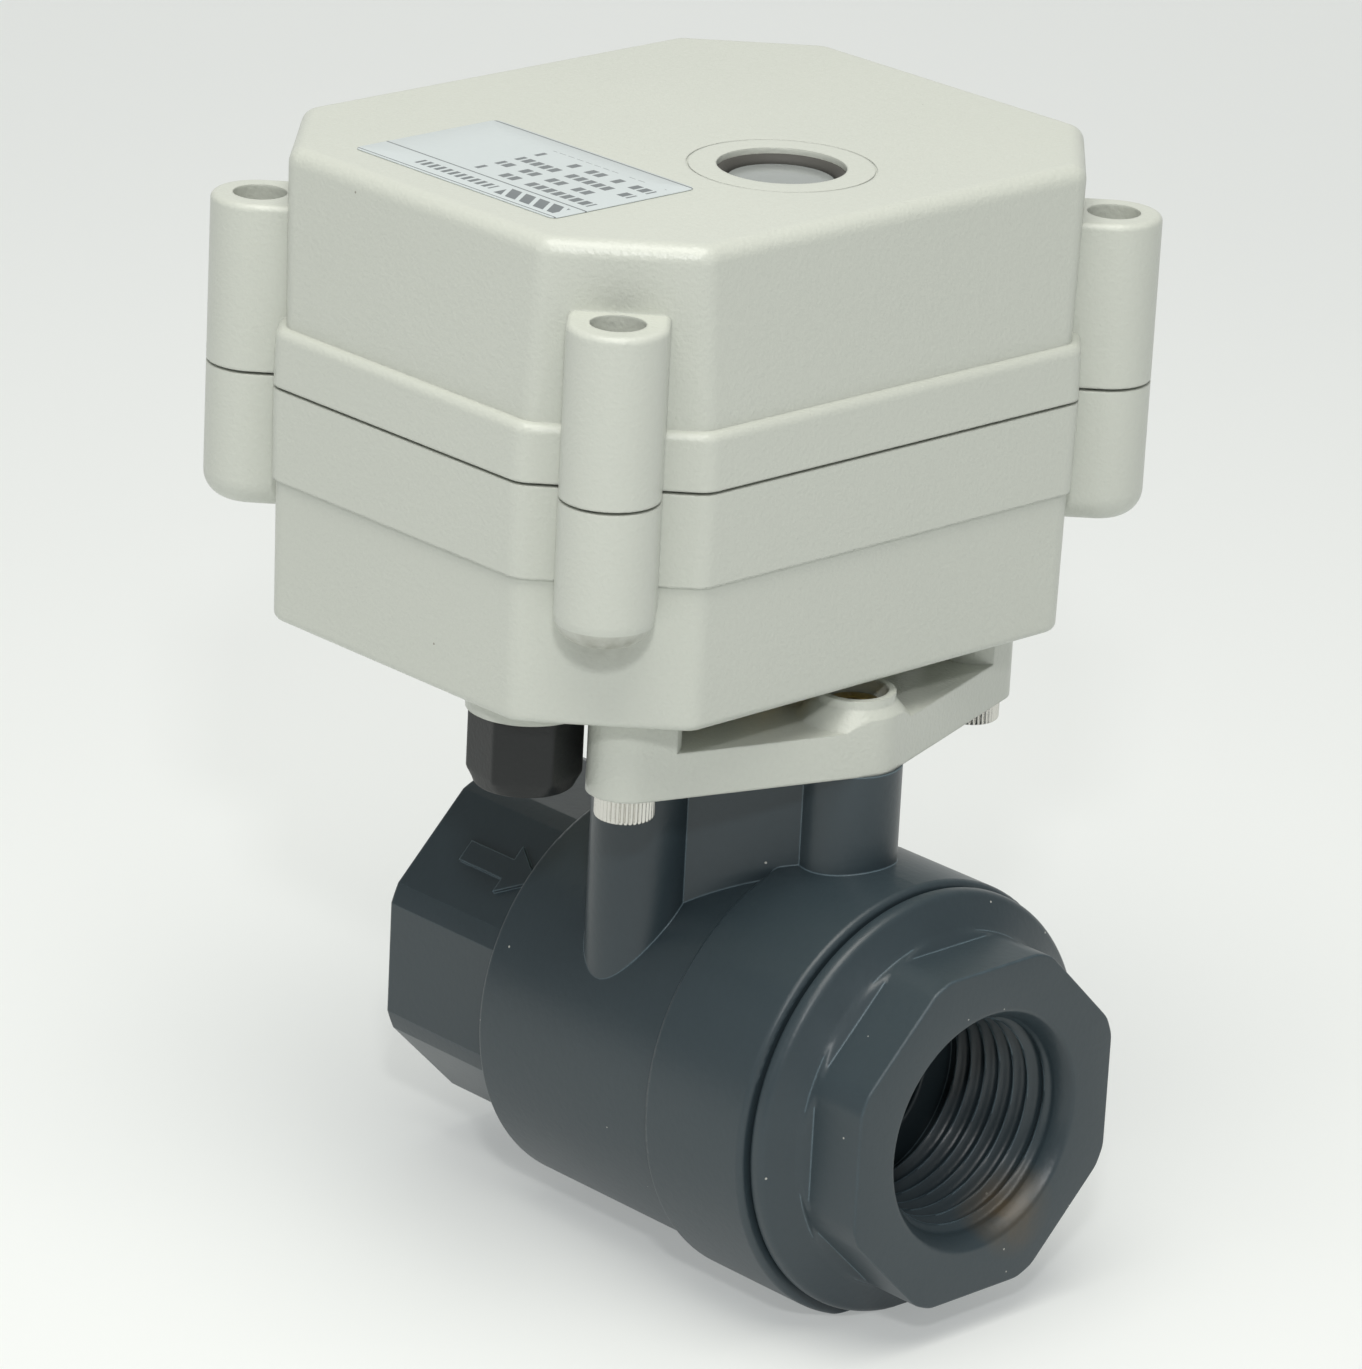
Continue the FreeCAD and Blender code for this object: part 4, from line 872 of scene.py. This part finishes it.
class VALVE_OT_stage(bpy.types.Operator):
    """Pale floor that curves up behind, soft lights and the camera"""
    bl_idname = "valve.stage"
    bl_label = "Stage"

    def execute(self, context):
        scene = context.scene
        stage = scene.valve_stage
        pale = (0.93, 0.96, 0.95, 1.0)
        self.lay_floor(scene, stage, pale)
        self.light(scene, stage, pale)
        self.set_camera(scene, stage)
        return {"FINISHED"}

    def lay_floor(self, scene, stage, pale):
        """The floor is a level sheet whose height grows with the square of how far a point lies
        behind the object, away from the camera."""
        count, half_width, flat_depth = 65, 1.6, 0.35
        side = np.linspace(-half_width, half_width, count)
        x, y = np.meshgrid(side, side, indexing="ij")
        away = -x * math.sin(stage.azimuth) + y * math.cos(stage.azimuth)
        z = 1.1 * np.clip(away - flat_depth, 0, None) ** 2
        points = np.stack([x, y, z], -1).reshape(-1, 3)
        index = np.arange(count * count).reshape(count, count)
        quads = np.stack([index[:-1, :-1], index[1:, :-1], index[1:, 1:], index[:-1, 1:]], -1)
        mesh = bpy.data.meshes.new("floor")
        mesh.from_pydata(points.tolist(), [], quads.reshape(-1, 4).tolist())
        mesh.polygons.foreach_set("use_smooth", np.ones(len(mesh.polygons), bool))
        tree, surface = start_material("pale_floor", Roughness=0.6, Emission_Color=pale,
                                       Emission_Strength=0.33)
        cloud = noise(tree, object_place(tree), 3.0, 2.0)
        tree.links.new(tint(tree, cloud, (0.53, 0.54, 0.53), (0.55, 0.56, 0.55)),
                       surface["Base Color"])
        mesh.materials.append(finish("pale_floor"))
        floor = bpy.data.objects.new("floor", mesh)
        scene.collection.objects.link(floor)

    def light(self, scene, stage, pale):
        """Pale surround, a broad light overhead, a small one over the camera and two at the
        sides."""
        world = bpy.data.worlds.new("surround")
        world.use_nodes = True
        background = world.node_tree.nodes["Background"]
        background.inputs["Color"].default_value = pale
        background.inputs["Strength"].default_value = stage.sky
        scene.world = world
        scene.view_settings.view_transform = "Standard"
        warm, plain, cool = (1.0, 0.985, 0.93), (1.0, 1.0, 1.0), (0.95, 0.98, 1.0)
        reach = 0.58
        over_camera = (reach * math.sin(stage.azimuth), -reach * math.cos(stage.azimuth), 0.46)
        area_light("overhead", (0.10, -0.16, 0.75), 0.55, stage.key, warm)
        area_light("glint", over_camera, 0.05, stage.glint, plain)
        area_light("front_left", (-0.25, -0.80, 0.40), 0.40, stage.fill, cool)
        area_light("front_right", (0.75, -0.10, 0.35), 0.40, 0.8 * stage.fill, cool)

    def set_camera(self, scene, stage):
        """Camera on a sphere round the target, at its azimuth and elevation, and then rolled."""
        az, el = stage.azimuth, stage.elevation
        back = Vector((math.sin(az) * math.cos(el), -math.cos(az) * math.cos(el), math.sin(el)))
        right = Vector((math.cos(az), math.sin(az), 0.0))
        facing = Matrix((right, back.cross(right), back)).transposed()
        tilt = facing @ Matrix.Rotation(stage.roll, 3, "Z")
        data = bpy.data.cameras.new("camera")
        data.lens = stage.lens
        data.sensor_width = 36.0
        data.sensor_fit = "HORIZONTAL"
        data.clip_start, data.clip_end = 0.01, 20.0
        camera = bpy.data.objects.new("camera", data)
        place_at = Vector(stage.target) + back * stage.distance
        camera.matrix_world = Matrix.Translation(place_at) @ tilt.to_4x4()
        scene.collection.objects.link(camera)
        scene.camera = camera


OPERATORS = (
    VALVE_OT_finishes, VALVE_OT_stage, VALVE_OT_connector, VALVE_OT_rear_thread,
    VALVE_OT_bracket_screws, VALVE_OT_pocket_screws, VALVE_OT_cover_screws, VALVE_OT_gland_nut,
    VALVE_OT_window, VALVE_OT_dial, VALVE_OT_label,
)
SETTINGS = {
    "valve_thread": ThreadSizes,
    "valve_screws": ScrewSizes,
    "valve_colours": FinishColours,
    "valve_stage": StageSettings,
}


class VALVE_PT_panel(bpy.types.Panel):
    """Lists the pieces and the settings they read"""
    bl_idname = "VALVE_PT_panel"
    bl_label = "Motorized Valve"
    bl_space_type = "VIEW_3D"
    bl_region_type = "UI"
    bl_category = "Valve"

    def draw(self, context):
        for operator in OPERATORS:
            self.layout.operator(operator.bl_idname)
        for name, group in SETTINGS.items():
            box = self.layout.box()
            box.label(text=group.__doc__)
            for field in group.__annotations__:
                box.prop(getattr(context.scene, name), field)


def register():
    for group in (*SETTINGS.values(), *OPERATORS, VALVE_PT_panel):
        bpy.utils.register_class(group)
    for name, group in SETTINGS.items():
        setattr(bpy.types.Scene, name, PointerProperty(type=group))


def unregister():
    for name in SETTINGS:
        delattr(bpy.types.Scene, name)
    for group in (VALVE_PT_panel, *reversed(OPERATORS), *reversed(list(SETTINGS.values()))):
        bpy.utils.unregister_class(group)


def main():
    """Registers the classes and makes everything in order."""
    register()
    for operator in OPERATORS:
        getattr(bpy.ops.valve, operator.bl_idname.split(".")[1])()


if __name__ == "__main__":
    main()
